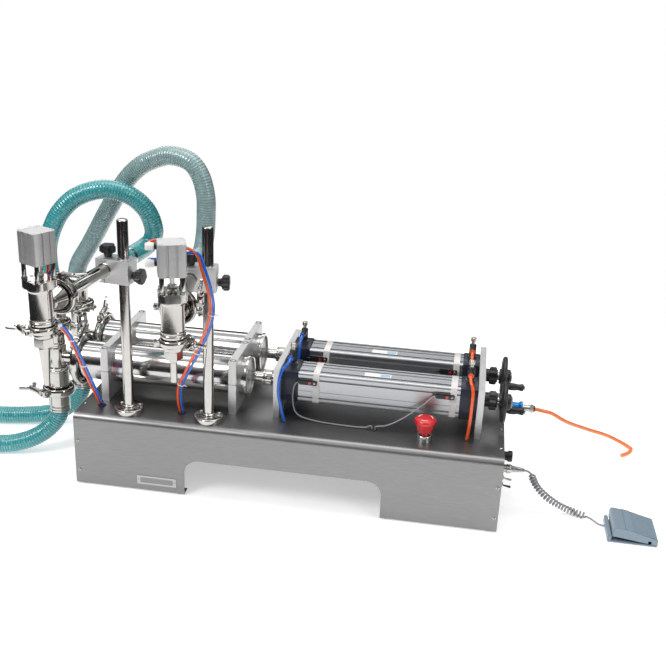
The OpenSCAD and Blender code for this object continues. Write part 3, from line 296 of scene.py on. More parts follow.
class Piece:
    """One object, gathered from parts."""

    def __init__(self, name):
        self.name, self.mats, self.bm = name, [], bmesh.new()
        self.uv = self.bm.loops.layers.uv.new("along")

    def join(self, part, mat, where):
        if mat not in self.mats:
            self.mats.append(mat)
        bmesh.ops.recalc_face_normals(part, faces=part.faces)
        for f in part.faces:
            f.material_index = self.mats.index(mat)
        part.transform(where)
        mesh = bpy.data.meshes.new("part")
        part.to_mesh(mesh)
        part.free()
        self.bm.from_mesh(mesh)
        bpy.data.meshes.remove(mesh)

    def lathe(self, profile, mat, where=Matrix(), steps=40, ease=0.4):
        """Profile of (radius, height), turned about local Z."""
        bm, rings = bmesh.new(), []
        for r, h in eased(profile, ease):
            if r < 1e-4:
                rings.append([bm.verts.new((0, 0, h))])
            else:
                rings.append([bm.verts.new((x, y, h)) for x, y in ring_of(r, steps)])
        for a, b in zip(rings, rings[1:]):
            for k in range(steps):
                m = (k + 1) % steps
                if len(a) == 1 and len(b) > 1:
                    bm.faces.new((a[0], b[k], b[m]))
                elif len(b) == 1 and len(a) > 1:
                    bm.faces.new((a[k], b[0], a[m]))
                elif len(a) > 1:
                    bm.faces.new((a[k], b[k], b[m], a[m]))
        self.join(bm, mat, where)

    def pipe(self, bore, r, low, high, mat, where=Matrix(), steps=40, ease=0.4):
        self.lathe([(bore, low), (r, low), (r, high), (bore, high)], mat, where, steps, ease)

    def prism(self, outline, low, high, mat, where=Matrix(), bevel=0.5):
        """Outline in local X and Y, from low to high, with its rims bevelled."""
        bm = bmesh.new()
        bottom = [bm.verts.new((x, y, low)) for x, y in outline]
        top = [bm.verts.new((x, y, high)) for x, y in outline]
        n = len(outline)
        for k in range(n):
            bm.faces.new((bottom[k], bottom[(k + 1) % n], top[(k + 1) % n], top[k]))
        caps = [bm.faces.new(bottom[::-1]), bm.faces.new(top)]
        if bevel:
            edges = list({e for f in caps for e in f.edges})
            bmesh.ops.bevel(bm, geom=edges, offset=bevel, segments=2, affect="EDGES")
        self.join(bm, mat, where)

    def block(self, lo, hi, mat, where=Matrix(), bevel=0.6):
        bm = bmesh.new()
        bmesh.ops.create_cube(bm, size=1)
        lo, hi = Vector(lo), Vector(hi)
        bm.transform(Matrix.Translation((lo + hi) / 2) @ Matrix.Diagonal((*(hi - lo), 1)))
        bevel = min(bevel, min(hi - lo) * 0.3)
        bmesh.ops.bevel(bm, geom=bm.edges[:], offset=bevel, segments=2, affect="EDGES")
        self.join(bm, mat, where)

    def bar(self, a, b, r, mat, sides=16, ease=0.3):
        a, b = Vector(a), Vector(b)
        n = (b - a).length
        self.pipe(0, r, 0, n, mat, place(a, b - a), sides, ease)

    def hexagon(self, across, low, high, mat, where=Matrix(), bevel=0.6):
        self.prism(ring_of(across / sqrt(3), 6), low, high, mat, where, bevel)

    def tube(self, path, r, mat, sides=12, ribs=0.0, pitch=5.0):
        """Round tube of radius r along the points, with its length and angle as coordinates."""
        bm = bmesh.new()
        uv = bm.loops.layers.uv.new("along")
        tangents = [(path[min(i + 1, len(path) - 1)] - path[max(i - 1, 0)]).normalized()
            for i in range(len(path))]
        side = tangents[0].orthogonal().normalized()
        rings, run = [], [0.0]
        for i, (p, t) in enumerate(zip(path, tangents)):
            if i:
                run.append(run[-1] + (p - path[i - 1]).length)
            side = (side - t * side.dot(t)).normalized()
            other = t.cross(side)
            swell = r + ribs * cos(2 * pi * run[-1] / pitch)
            rings.append([bm.verts.new(p + (side * c + other * s) * swell) for c, s in ring_of(1, sides)])
        for i, (a, b) in enumerate(zip(rings, rings[1:])):
            for k in range(sides):
                m = (k + 1) % sides
                f = bm.faces.new((a[k], a[m], b[m], b[k]))
                for loop, (u, v) in zip(f.loops, ((i, k), (i, k + 1), (i + 1, k + 1), (i + 1, k))):
                    loop[uv].uv = (run[u] * MM, v / sides)
        bm.faces.new(rings[0][::-1])
        bm.faces.new(rings[-1])
        self.join(bm, mat, Matrix())
        return run[-1]

    def done(self, slot, body="machine", replaces=None):
        """Makes the object, which stands for its CAD nodes: the one of its own name, or those given."""
        mesh = bpy.data.meshes.new(self.name)
        self.bm.transform(Matrix.Translation(MIDDLE) @ Matrix.Scale(MM, 4))
        self.bm.to_mesh(mesh)
        self.bm.free()
        for m in self.mats:
            mesh.materials.append(m)
        for p in mesh.polygons:
            p.use_smooth = True
        mesh.set_sharp_from_angle(angle=radians(32))
        o = show(self.name, mesh)
        if replaces is None:
            replaces = (self.name,)
        if replaces:
            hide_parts(*replaces)
        if body:
            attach(o, body)
        return o


def smooth(points, step):
    """Catmull-Rom curve through the points, with a point about every step."""
    p = [Vector(q) for q in points]
    out = []
    for i in range(len(p) - 1):
        a, b, c, d = p[max(i - 1, 0)], p[i], p[i + 1], p[min(i + 2, len(p) - 1)]
        n = max(2, round((c - b).length / step))
        for k in range(n):
            t = k / n
            out.append(0.5 * (2 * b + (c - a) * t + (2 * a - 5 * b + 4 * c - d) * t * t
                + (3 * b - a - 3 * c + d) * t ** 3))
    out.append(p[-1])
    return out


# ---- camera, floor and light ----


def look(az, el, roll):
    """Camera's right, up and forward for an azimuth from +Y, a tilt down and a roll."""
    f = Vector((sin(az) * cos(el), cos(az) * cos(el), -sin(el)))
    r = Vector((cos(az), -sin(az), 0))
    u = r.cross(f)
    return r * cos(roll) + u * sin(roll), u * cos(roll) - r * sin(roll), f


right, up, ahead = look(radians(-8.088), radians(21.296), radians(2.533))
camera = show("camera", bpy.data.cameras.new("camera"))
m = Matrix((right, up, -ahead)).transposed().to_4x4()
m.translation = to_frame((304.9, -1700.6, 969.2))
camera.matrix_world = m
camera.data.lens = 52.65
camera.data.sensor_width = 36
camera.data.clip_end = 50
bpy.context.scene.camera = camera


def studio():
    """Round pale floor, so that polished metal sees the dark room beyond it."""
    p = bmesh.new()
    bmesh.ops.create_circle(p, cap_ends=True, segments=128, radius=FLOOR_RADIUS)
    mesh = bpy.data.meshes.new("studio_floor")
    p.to_mesh(mesh)
    p.free()
    mesh.materials.append(FLOOR)
    show("studio_floor", mesh)


def lamp(name, at, to, size, power, color=(1, 1, 1)):
    light = bpy.data.lights.new(name, "AREA")
    light.shape, light.size, light.size_y = "RECTANGLE", size[0], size[1]
    light.energy, light.color = power, color
    o = show(name, light)
    o.matrix_world = place(at, Vector(at) - Vector(to))


def room():
    """White to the camera, and to the object a dark room with a bright ceiling."""
    world = bpy.data.worlds.new("studio")
    world.use_nodes = True
    g = Graph(world.node_tree)
    level = g.add("SeparateXYZ", "Z", {"Vector": g.add("TexCoord", "Generated")})
    height = g.add("MapRange", "Result", {"From Min": -1, "Value": level})
    greys = ((0.60, 0.04), (0.70, 0.18), (0.80, 0.55), (0.92, 0.8))
    sky = g.ramp(height, [(0.50, (0.03, 0.03, 0.035))] + [(at, (grey,) * 3) for at, grey in greys])
    seen = g.add("LightPath", "Is Camera Ray")
    g.put(g.nodes["Background"], "Color", g.mix(seen, sky, (BACKDROP, BACKDROP, BACKDROP, 1)))
    bpy.context.scene.world = world


FLOOR_RADIUS, BACKDROP = 1.4, 1.0
bpy.context.scene.view_settings.view_transform = "Standard"
studio()
lamp("key", (-1.5, -1.5, 2.3), (-0.1, 0, 0.2), (1.0, 1.0), 38)
lamp("fill", (2.2, -1.4, 1.5), (0, 0, 0.2), (0.6, 1.4), 13)
lamp("top", (0.1, 0.3, 2.6), (0, 0, 0), (2.4, 1.2), 24)
lamp("back", (-0.6, 1.8, 1.4), (0, 0, 0.3), (2.4, 0.5), 8)
room()

# ---- free hoses and cords ----

HOSE_R = 18


def rope(name, path, r, mat, node, sides=12, ribs=0.0, pitch=5.0, exit_at=None, far_end="bare",
        body="machine", slot=None, replaces=(), **words):
    """A free hose or cord as a mesh tube, whose length is measured."""
    p = Piece(name)
    length = p.tube(path, r, mat, sides, ribs, pitch)
    o = p.done(slot, body, replaces or (node,))
    return o


INLET = {
    "front": [(0, 0, 92), (-4, -2, 76), (-17, -8, 57), (-35, -16, 41), (-61, -25, 28), (-91, -32, 20),
              (-120, -38, 18), (-180, -54, 18), (-245, -85, 18), (-300, -145, 18), (-320, -225, 18),
              (-285, -300, 18), (-210, -345, 18)],
    "rear": [(0, 0, 92), (-5, -1, 77), (-17, -2, 58), (-35, -6, 41), (-65, -11, 27), (-101, -16, 20),
             (-143, -25, 18), (-178, -32, 18), (-260, -47, 18), (-350, -52, 18), (-430, -27, 18),
             (-475, 43, 18), (-470, 118, 18)],
}
for row in ROWS:
    start = Vector((STACK_X, AXIS[row].y, 0))
    rope("inlet_hose_" + row, smooth([start + Vector(q) for q in INLET[row]], 1.3), HOSE_R - 0.4, TEAL,
        "hose_inlet_" + row, 28, 0.35, 5.2, stiffness="stiff", slot="hose")

INLET_AT = Vector((BASE_HI.x, *centre("slide_sleeve").yz))
rope("supply_tube", smooth([INLET_AT + Vector(q) for q in [
    (60, 0, 0), (64, 0, 0), (80, 1, -3), (100, 8, -10), (130, 25, -32), (160, 50, -52), (192, 80, -73),
    (230, 110, -95), (262, 125, -114), (281, 125, -123.5), (286, 115, -124), (278, 97, -124),
    (262, 81, -124)]], 6),
    3.9, PALE_ORANGE, "supply_tube", 16, exit_at=INLET_AT + Vector((64, 0, 0)), slot="orange_tube")

# the pedal's cord: a plain lead, the curly part, and a plain lead into the pedal
FITTING_Y = centre("regulator_knob").y
GLAND_Z = 86
GLAND_TIP = Vector((BASE_HI.x + 44, FITTING_Y, GLAND_Z))
PEDAL_LO, PEDAL_HI = box("pedal_base")


def curly(centreline, radius, turns, ends):
    """Helix about the centreline, easing out of and into it over the ends' share of its length."""
    n = turns * 18
    seg = [0.0]
    for a, b in zip(centreline, centreline[1:]):
        seg.append(seg[-1] + (b - a).length)
    out, side, j = [], Vector((0, 1, 0)), 0
    for k in range(n + 1):
        t = k / n
        s = t * seg[-1]
        while j < len(seg) - 2 and seg[j + 1] < s:
            j += 1
        a, b = centreline[j], centreline[j + 1]
        along = (b - a).normalized()
        p = a + along * (s - seg[j])
        side = (side - along * side.dot(along)).normalized()
        other = along.cross(side)
        swell = min(1, t / ends, (1 - t) / ends)
        loose = 1 + 0.10 * sin(5.3 * t * pi + 0.8) * (1 - abs(2 * t - 1))
        angle = 2 * pi * turns * (t + 0.010 * sin(9 * t))
        out.append(p + (side * cos(angle) + other * sin(angle)) * radius * swell * min(loose, 1.04))
    return out


X0 = BASE_HI.x
spine = smooth([(X0 + 56, FITTING_Y, 80), (X0 + 70, -59, 54), (X0 + 92, -57, 32), (X0 + 120, -56, 16),
    (X0 + 145, -58, 8.2), (X0 + 166, -68, 8)], 2)
lead_in = smooth([(X0 + 42, FITTING_Y, GLAND_Z + 0.4), GLAND_TIP, (X0 + 51, FITTING_Y, 84),
    (X0 + 56, FITTING_Y, 80)], 2)
lead_out = smooth([(X0 + 166, -68, 8), (X0 + 175, -76, 8), (X0 + 183, -87, 8), (X0 + 190, -92.5, 8),
    (X0 + 197, -93, 8)], 2)
rope("pedal_cord", lead_in[:-1] + curly(spine, 5.3, 22, 0.04) + lead_out[1:], 1.9, CORD, None, 8,
    exit_at=GLAND_TIP, far_end="object", replaces=("pedal_cord_curl", "pedal_cord_leads"), lay="coiled",
    slot="cord")

# ---- product hoses ----


def arm_point(side, y):
    c = centre("arm_knob_" + side)
    a = TURN[side]
    return Vector((c.x - y * sin(a), c.y + y * cos(a), ARM_Z[side]))


OUTLET = {
    "left": [(-480, -30, 338), (-481, -30, 365), (-485, -29, 400), (-484, -29, 432), (-474, -27, 466),
             (-456, -22, 500), (-426, -12, 528), (-380, 0, 542), (-336, 14, 531), (-307, 26, 502),
             (-297, 36, 465), (-303, 42, 440), (-313, 32, 428)],
    "right": [(-480, 87, 338), (-472, 84, 366), (-440, 74, 415), (-395, 62, 490), (-359, 54, 545),
              (-323, 46, 581), (-286, 40, 600), (-259, 35, 607), (-222, 28, 600), (-200, 24, 575),
              (-190, 22, 539), (-190, 24, 505), (-192, 26, 470), (-195, 22, 442), (-196, 8, 428)],
}
for side, mat, last in (("left", TEAL, 108), ("right", PALE, 102)):
    path = smooth(OUTLET[side] + [arm_point(side, last), arm_point(side, HOSE_END), arm_point(side, 62)], 1.3)
    p = Piece("outlet_hose_" + side)
    p.tube(path, HOSE_R - 0.4, mat, 28, 0.35, 5.2 if side == "left" else 4.8)
    o = p.done("hose", None, ("hose_outlet_" + side,))
    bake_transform(o)


def run_of_tubes(name, starts, ways, ends, r, mats, ties=()):
    """Tubes side by side, each through its own points, with cable ties around them."""
    p = Piece(name)
    paths = []
    for a, way, b, mat in zip(starts, ways, ends, mats):
        path = smooth([*a, *way, b], 5)
        paths.append(path)
        p.tube(path, r, mat, 12)
    for share in ties:
        spots = [path[int(share * (len(path) - 1))] for path in paths]
        mid = sum(spots, Vector()) / len(spots)
        i = int(share * (len(paths[0]) - 1))
        ahead_ = paths[0][i + 1] - paths[0][i - 1]
        across = spots[1] - spots[0]
        where = place(mid, ahead_, across)
        w = across.length / 2 + r
        loop = [(c * (w + 0.9), s * (r + 1.1)) for c, s in ring_of(1, 20)]
        p.prism(loop, -1.6, 1.6, TIE, where, 0.5)
        p.block((w - 1, -1.4, -1), (w + 6, 0.4, 1), TIE, where, 0.3)
    return p


# a nozzle's two air tubes: the elbows' heights, the grommets, the way round the head, and the way down,
# where w sets the second tube beside the first
ELBOW_Z = (45, 18)
GROMMET = {"left": Vector((-360, -104, TOP)), "right": Vector((-204, -100, TOP))}
WAY = {
    "left": [[(-22, 33 - 2 * i, ELBOW_Z[i] - 6 + 6 * i)] for i in (0, 1)],
    "right": [[(-20, 33 - 2 * i, ELBOW_Z[i] - 3 * i), (4, 34 - 2 * i, ELBOW_Z[i] - 6 + 6 * i)]
              for i in (0, 1)],
}
DROP = {
    "left": lambda w: [
        (-363 + w, -292, 496), (-362 + w, -292, 474), (-374 - w / 2, -292, 450),
        (-383 - w / 2, -292 + w, 425),
        (-378 + w / 2, -280, 396), (-368 + w, -256, 368), (-365 + w, -225, 333), (-365 + w, -190, 282),
        (-365 + w, -145, 212)],
    "right": lambda w: [
        (-117 + w / 2, -292, 526), (-106 + w, -296, 500), (-98 + w, -292, 468), (-98 + w, -278, 440),
        (-108 + w, -245, 406), (-124 + w, -214, 366), (-148 + w, -182, 318), (-178 + w, -150, 262),
        (-203 + w, -122, 212), (-209 + w, -106, 176)],
}
for side in SIDES:
    head = head_frame(side) @ shift(0, 0, STANDOFF)
    starts, ways, ends = [], [], []
    for i in (0, 1):
        starts.append([head @ Vector((-33, 12, ELBOW_Z[i])), head @ Vector((-33, 22, ELBOW_Z[i]))])
        ways.append([head @ Vector(q) for q in WAY[side][i]] + [Vector(q) for q in DROP[side](6 * i)])
        ends.append(GROMMET[side] + Vector((-2.8 + 5.6 * i, 0, 1)))
    p = run_of_tubes("nozzle_tubes_" + side, starts, ways, ends, 2.5, (ORANGE, BLUE),
        (0.30, 0.55, 0.72) if side == "left" else (0.42, 0.66, 0.86))
    o = p.done("orange_tube", None)
    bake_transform(o)

# speed-control tubes and sensor leads
E = AXIS_Z + 32.5 + 23
p = Piece("air_tubes")
FY, RY = AXIS["front"].y, AXIS["rear"].y
for x, bow, mat, front_end, rear_end in ((-6, -1, BLUE, (-9, -90), (-8, 28)),
        (328, 1, ORANGE, (331, -84), (334, 28))):
    bend = ((-12, 245), (-16, 210), (-10, 175)) if bow < 0 else ((6, 245), (6, 210), (5, 175))
    p.tube(smooth([(x, FY - 24, E), (x, FY - 28, E), (x, -72, E - 2), (x + bend[0][0], -84, bend[0][1]),
        (x + bend[1][0], -88, bend[1][1]), (x + bend[2][0], -88, bend[2][1]), (*front_end, TOP)], 4), 3, mat,
        14)
    p.tube(smooth([(x, RY - 24, E), (x, 45, E - 2), (x, 33, 250), (x + (3 if bow > 0 else -1), 28, 210),
        (*rear_end, 180), (*rear_end, TOP)], 4), 3, mat, 14)
G = (159, -84)
LEAD_Y, LEAD_Z = FY - 34.4, AXIS_Z + 12.5
p.tube(smooth([(270, LEAD_Y, LEAD_Z), (267, LEAD_Y, LEAD_Z), (262, -66.5, 218), (240, -72, 197),
    (206, -78, 171), (182, -83, 159), (168, -84, 156.5), (G[0] + 3.2, G[1], 154.5),
    (G[0] + 3, G[1], TOP + 1)], 3), 1.5, CORD, 10)
p.tube(smooth([(14, LEAD_Y, LEAD_Z), (11, LEAD_Y, LEAD_Z), (4, -66, 213), (2, -68, 185), (12, -72, 158),
    (50, -78, 150.2), (110, -84, 150.2), (G[0] - 16, G[1], 151), (G[0] - 9, G[1], 154.5),
    (G[0] - 4, G[1], 155), (G[0] - 3, G[1], TOP + 1)], 3), 1.5, CORD, 10)
p.done("orange_tube")

# ---- shared small parts ----


def screw(p, where, d, h, mat=PLATED):
    """Pan head with a cross recess, painted as a black cross for its shade, seated on local Z 0."""
    p.lathe([(0, 0), (d / 2, 0), (d / 2, h * 0.45), (d * 0.3, h * 0.92), (0, h)], mat, where, 20, h * 0.3)
    # painted shade: the cross recess is a black cross laid on the head
    for a in (0.4, 0.4 + pi / 2):
        p.block((-d * 0.28, -d * 0.05, h * 0.8), (d * 0.28, d * 0.05, h * 1.005), BLACK, where @ spin(a),
            0.05)


def cap_bolt(p, where, d, h, mat=PLATED):
    """Socket head with its hexagon painted black at the socket's floor as shade, seated on local Z 0."""
    p.lathe([(d * 0.27, h * 0.4), (d * 0.27, h), (d / 2, h), (d / 2, 0), (0, 0)], mat, where, 24, 0.5)
    # painted shade: a black hexagon at the bottom of the socket
    p.hexagon(d * 0.46, h * 0.38, h * 0.42, BLACK, where, 0)


def nut(p, where, across, h, mat=PLATED):
    p.hexagon(across, 0, h, mat, where, 0.5)
    p.pipe(0, across * 0.42, h, h + 0.5, mat, where, 20, 0.2)


def thread(p, where, r, length, mat=PLATED, pitch=1.5):
    ring = [(0, 0)]
    n = int(length / pitch)
    for i in range(n):
        ring += [(r, i * pitch), (r * 0.86, (i + 0.5) * pitch)]
    ring += [(r * 0.9, n * pitch), (0, n * pitch)]
    p.lathe(ring, mat, where, 16, 0.1)


def wing_nut(p, where, size=1.0, mat=STEEL):
    """Two rounded wings on a hub, its axis along local Z."""
    p.lathe([(0, 0), (6.2, 0), (5.6, 8), (0, 9)], mat, where @ Matrix.Scale(size, 4), 20, 1)
    for s in (-1, 1):
        wing = [(4, 0), (9, 3), (17, 12), (20, 17), (19.5, 22), (15.5, 23.5), (11.5, 20.5), (8, 12), (3.5, 7)]
        if s < 0:
            wing = [(-x, y) for x, y in wing][::-1]
        m = where @ Matrix.Scale(size, 4) @ TO_FRONT
        p.prism(eased(wing, 2, True), -1.9, 1.9, mat, m, 1.2)


def pipe_clamp(p, where, r, w, bolt, mat=STEEL, nut_size=1.0, lean=0.0):
    """Two-part sanitary clamp about local Z, its ears towards local -X and its bolt along local Y."""
    p.lathe([(r + 0.2, -w / 2 + 3.5), (r + 0.2, -w / 2 + 1), (r + 2.5, -w / 2), (r + 5, -w / 2 + 0.6),
        (r + 6.6, -w * 0.2), (r + 6.6, w * 0.2), (r + 5, w / 2 - 0.6), (r + 2.5, w / 2), (r + 0.2, w / 2 - 1),
        (r + 0.2, w / 2 - 3.5)], mat, where, 56, 0.8)
    for s in (-1, 1):
        ear = eased([(-r - 4, s * 3), (-r - 4, s * 9), (-r - 9, s * 10), (-r - 16, s * 8.6), (-r - 17, s * 4),
            (-r - 15, s * 3)], 2, True)
        p.prism(ear if s < 0 else ear[::-1], -w / 2 + 2, w / 2 - 2, mat, where, 1)
        p.block((r + 5, s * 4.6 - 1.6, -w / 2 + 2.5), (r + 14, s * 4.6 + 1.6, w / 2 - 2.5), mat, where, 1)
    p.block((r + 5, -2.8, -w / 2 + 3.5), (r + 15, 2.8, w / 2 - 3.5), mat, where, 1.2)
    hinge = where @ shift(r + 11, 0, 0)
    p.pipe(0, 2.4, -w / 2 - 1, w / 2 + 1, PLATED, hinge, 14)
    seat = where @ shift(-r - 11, -10, 0) @ TO_BACK
    p.pipe(0, 4.6, -4.5, 0, mat, seat, 20, 0.8)
    thread(p, seat, 3, bolt + 20)
    wing_nut(p, where @ shift(-r - 11, bolt - 9.5, 0) @ TO_BACK @ spin(lean), nut_size, mat)
    p.pipe(3, 6, 0, bolt - 18, mat, where @ shift(-r - 11, 8.7, 0) @ TO_BACK, 20)


def lobed(r, depth, lobes, steps):
    """Outline of radius r with round lobes."""
    angles = [2 * pi * k / steps for k in range(steps)]
    return [((r + depth * cos(lobes * a)) * cos(a), (r + depth * cos(lobes * a)) * sin(a)) for a in angles]


def star_knob(p, where, stud):
    """Five-lobed knob seated on local Z 0."""
    p.prism(lobed(12.2, 3.1, 5, 60), 8, 22, BLACK, where, 2.2)
    p.lathe([(0, 1), (7, 1), (8, 8.5), (0, 8.5)], BLACK, where, 24, 1)
    p.lathe([(0, 21.9), (5, 21.9), (4.4, 22.3), (0, 22.4)], BLACK, where, 24, 0.2)
    thread(p, where @ shift(0, 0, -stud), 4, stud + 1.2)


def hose_clip(p, where, r):
    """Worm-drive band about local Z."""
    p.lathe([(r, -5), (r + 0.9, -5), (r + 0.9, 5), (r, 5), (r, -5)], PLATED, where, 48, 0.2)
    p.block((r, -4, -6), (r + 6.5, 6, 6), PLATED, where, 1.2)
    p.bar(where @ Vector((r + 3.4, -8, 0)), where @ Vector((r + 3.4, 9, 0)), 2.6, PLATED, 14)
    p.hexagon(7, 0, 3, PLATED, where @ shift(r + 3.4, -8, 0) @ TO_FRONT, 0.3)


def grooved(size, r, grooves, depth=2.4, width=4.0):
    """Rounded square with grooves at the given offsets in every side."""
    half, out = size / 2, []
    for q in range(4):
        c, s = cos(q * pi / 2), sin(q * pi / 2)
        side = [(-half + r, half)]
        for g in sorted(grooves):
            side += [(g - width / 2, half), (g - width / 2 + 0.6, half - depth),
                (g + width / 2 - 0.6, half - depth), (g + width / 2, half)]
        side += [(half - r, half), (half - r * 0.3, half - r * 0.3)]
        out += [(x * c + y * s, y * c - x * s) for x, y in side]
    return out


# ---- the base, its screws and feet ----

for node, mat in (("base_cover", BRUSHED), ("end_panels", BRUSHED), ("rubber_feet", RUBBER),
        ("valve_bank", BLACK), ("air_barrels", BARREL)):
    mesh = frame["nodes"][node].data
    mesh.materials.clear()
    mesh.materials.append(mat)

L, W = BASE_HI.x, BASE_HI.y
p = Piece("nameplate_and_screws")
p.block((-278, -W - 1, 15), (-202, -W, 33), PLATE, bevel=0.3)
p.block((-272, -W - 1.15, 18.5), (-208, -W - 0.9, 29.5), BRUSHED, bevel=0.05)
for x in (-274.5, -205.5):
    screw(p, place((x, -W - 1, 24), (0, -1, 0)), 3.6, 0.9)
for x in (-393, 393):
    for z in (31, 93):
        for s in (-1, 1):
            screw(p, place((x, s * W, z), (0, s, 0)), 7, 2)
    for y in (-103, -24, 54, 132):
        screw(p, place((x + (1 if x > 0 else -1), y, TOP)), 7, 2)
for s in (-1, 1):
    for y in (-110, 110):
        screw(p, place((s * L, y, 80), (s, 0, 0)), 7, 2)
LOWER_LO, LOWER_HI = box("clamp_plates_lower")
UPPER_LO, UPPER_HI = box("clamp_plates_upper")
PLATES_X = (LOWER_LO.x, LOWER_HI.x - 15)
for x in PLATES_X:
    for y in (-75, 18.5, 38.5, 132):
        cap_bolt(p, place((x + 7.5, y, UPPER_HI.z - 8)), 12.8, 8)
POLES_LO, POLES_HI = box("poles")
POLE_Y = (POLES_LO.y + POLES_HI.y) / 2
POLE_X = (POLES_LO.x + 28, POLES_HI.x - 28)
for x in POLE_X:
    for a in (30, 150, 270):
        a = radians(a)
        screw(p, place((x + 20 * cos(a), POLE_Y + 20 * sin(a), TOP + 10)), 8, 2.8)
p.done("bright")


# ---- filling cylinders ----

def half_plate(lo, hi, at, top):
    """Outline in Y and Z of one half of a split clamp plate, with two half-round seats."""
    r, way = 38.02, 1 if top else -1
    first = asin(abs(at - AXIS_Z) / r)
    seat = [(lo.y, at)]
    for row in ROWS:
        for k in range(33):
            a = pi - first - k * (pi - 2 * first) / 32
            seat.append((AXIS[row].y + r * cos(a), AXIS_Z + way * r * sin(a)))
    edge = hi.z if top else lo.z
    return seat + [(hi.y, at), (hi.y, edge), (lo.y, edge)]


X_UP = Matrix(((0, 0, 1, 0), (1, 0, 0, 0), (0, 1, 0, 0), (0, 0, 0, 1)))   # local X, Y, Z to Y, Z, X
for name, lo, hi, at, top in (("clamp_plates_lower", LOWER_LO, LOWER_HI, LOWER_HI.z, False),
        ("clamp_plates_upper", UPPER_LO, UPPER_HI, UPPER_LO.z, True)):
    p = Piece(name)
    for x in PLATES_X:
        p.prism(half_plate(lo, hi, at, top), x, x + 15, ALLOY, X_UP, 0.7)
    p.done("alloy")


p = Piece("fill_tubes")
n = TUBE_HI.x - TUBE_LO.x
for row in ROWS:
    m = on_axis(TUBE_LO.x, row)
    p.lathe([(35, n), (35, 0), (45.5, 0), (45.5, 2.5), (38, 4), (38, n - 5), (40.5, n - 5), (40.5, n),
        (35, n)], TUBE_STEEL, m, 72, 0.8)
    p.pipe(38.02, 38.35, n - 7, n - 6.3, PLATED, m, 72, 0.1)
p.done("polished")

for row in ROWS:
    lo = box("fill_piston_" + row)[0]
    p = Piece("fill_piston_" + row)
    r = 34.9
    p.lathe([(6, 0), (r - 1, 0), (r, 1), (r, 5), (r - 2.6, 5), (r - 2.6, 9), (r, 9), (r, 15), (r - 2.6, 15),
        (r - 2.6, 19), (r, 19), (r, 23), (r - 1, 24), (13, 24), (12, 23.2), (6, 23.2)], WHITE,
        on_axis(lo.x, row), 64)
    for z in (7, 17):
        p.lathe([(r - 2.6, z - 1.9), (r - 0.1, z - 1.2), (r - 0.1, z + 1.2), (r - 2.6, z + 1.9)], BLACK,
            on_axis(lo.x, row), 64, 0.3)
    p.done("ptfe", "piston_" + row)

    p = Piece("piston_rod_" + row)
    lo = box("piston_rod_" + row)[0]
    m = on_axis(lo.x, row)
    p.lathe([(0, 0), (11, 0), (11, 8), (6, 8), (6, 32), (10, 32), (10, 405), (0, 405)], PLATED, m, 32)
    c = on_axis(lo.x + 62, row)
    p.lathe([(10, 0), (15, 0), (15, 3), (14.2, 3.6), (14.2, 4.4), (15, 5), (15, 17), (10, 17)], STEEL, c, 40,
        0.8)
    for s in (-1, 1):
        p.block((s * 13.4 - 0.9, -6, 8), (s * 13.4 + 0.9, 6, 15), STEEL, c, 0.4)
    p.lathe([(10, 405), (24.9, 405), (24.9, 412), (22, 412), (22, 416), (24.9, 416), (24.9, 423), (0, 423)],
        ALLOY, m, 48)
    p.lathe([(22, 412.2), (24.8, 412.6), (24.8, 415.4), (22, 415.8)], BLACK, m, 48)
    p.done("bright", "piston_" + row)

# ---- product valves, hose tails and their clamps ----

LOWER_JOINT, UPPER_JOINT = 137, 276
tees, checks, tails, clamps = (Piece(n) for n in ("valve_tees", "check_valves", "hose_tails", "pipe_clamps"))
for row in ROWS:
    y = AXIS[row].y
    out = place((TUBE_LO.x, y, AXIS_Z), (-1, 0, 0))
    tees.lathe([(30, 0), (45.5, 0), (45.5, 3), (38, 5), (34, 10), (24, 16), (14, 20), (12.5, 24), (12.5, 36),
        (13.6, 37), (13.6, 39), (12.5, 40), (12.5, 55)], STEEL, out, 64, 1.5)
    tees.pipe(10, 19, -20, 22, STEEL, shift(STACK_X, y, AXIS_Z), 48, 1.5)
    for z in (-18.5, 20.5):
        tees.lathe([(19, z - 0.8), (19.5, z), (19, z + 0.8)], STEEL, shift(STACK_X, y, AXIS_Z), 48, 0.2)
    down = place((STACK_X, y, AXIS_Z - 20), (0, 0, -1))
    checks.lathe([(10, 0), (22, 0), (22, 4), (23, 5), (23, 8), (22, 9), (22, 46), (18, 48), (18, 49),
        (25.2, 49.5), (25.2, 51), (10, 51)], STEEL, down, 56, 1)
    up_ = shift(STACK_X, y, AXIS_Z + 22)
    checks.lathe([(10, 0), (17, 0), (17, 4), (18, 5), (18, 9), (17, 10), (17, 42), (16, 43), (25.2, 43.8),
        (25.2, 46), (10, 46)], STEEL, up_, 56, 1)
    for z, end in ((UPPER_JOINT, 338), (LOWER_JOINT, 92)):
        n = abs(end - z)
        m = place((STACK_X, y, z), (0, 0, 1 if end > z else -1))
        tails.lathe([(11, 0), (25.2, 0), (25.2, 1.6), (16, 4), (15, 9), (20.2, 9), (20.5, 10), (20.5, n - 14),
            (19.8, n - 12), (20.5, n - 10), (20.5, n - 6), (19.8, n - 5), (20.5, n - 4), (20.5, n), (18.5, n),
            (18.5, n - 4)], STEEL, m, 56, 0.8)
    pipe_clamp(clamps, shift(STACK_X, y, LOWER_JOINT) @ spin(radians(60)), FERRULE_R, 16, 44)
    pipe_clamp(clamps, shift(STACK_X, y, UPPER_JOINT) @ spin(radians(150)), FERRULE_R, 16, 30)
    pipe_clamp(clamps, shift(TUBE_LO.x, y, AXIS_Z) @ TO_RIGHT @ spin(radians(20)), 45.5, 14, 30)
tees.done("polished")
checks.done("polished")
tails.done("polished")
clamps.done("polished")

# ---- air cylinders ----

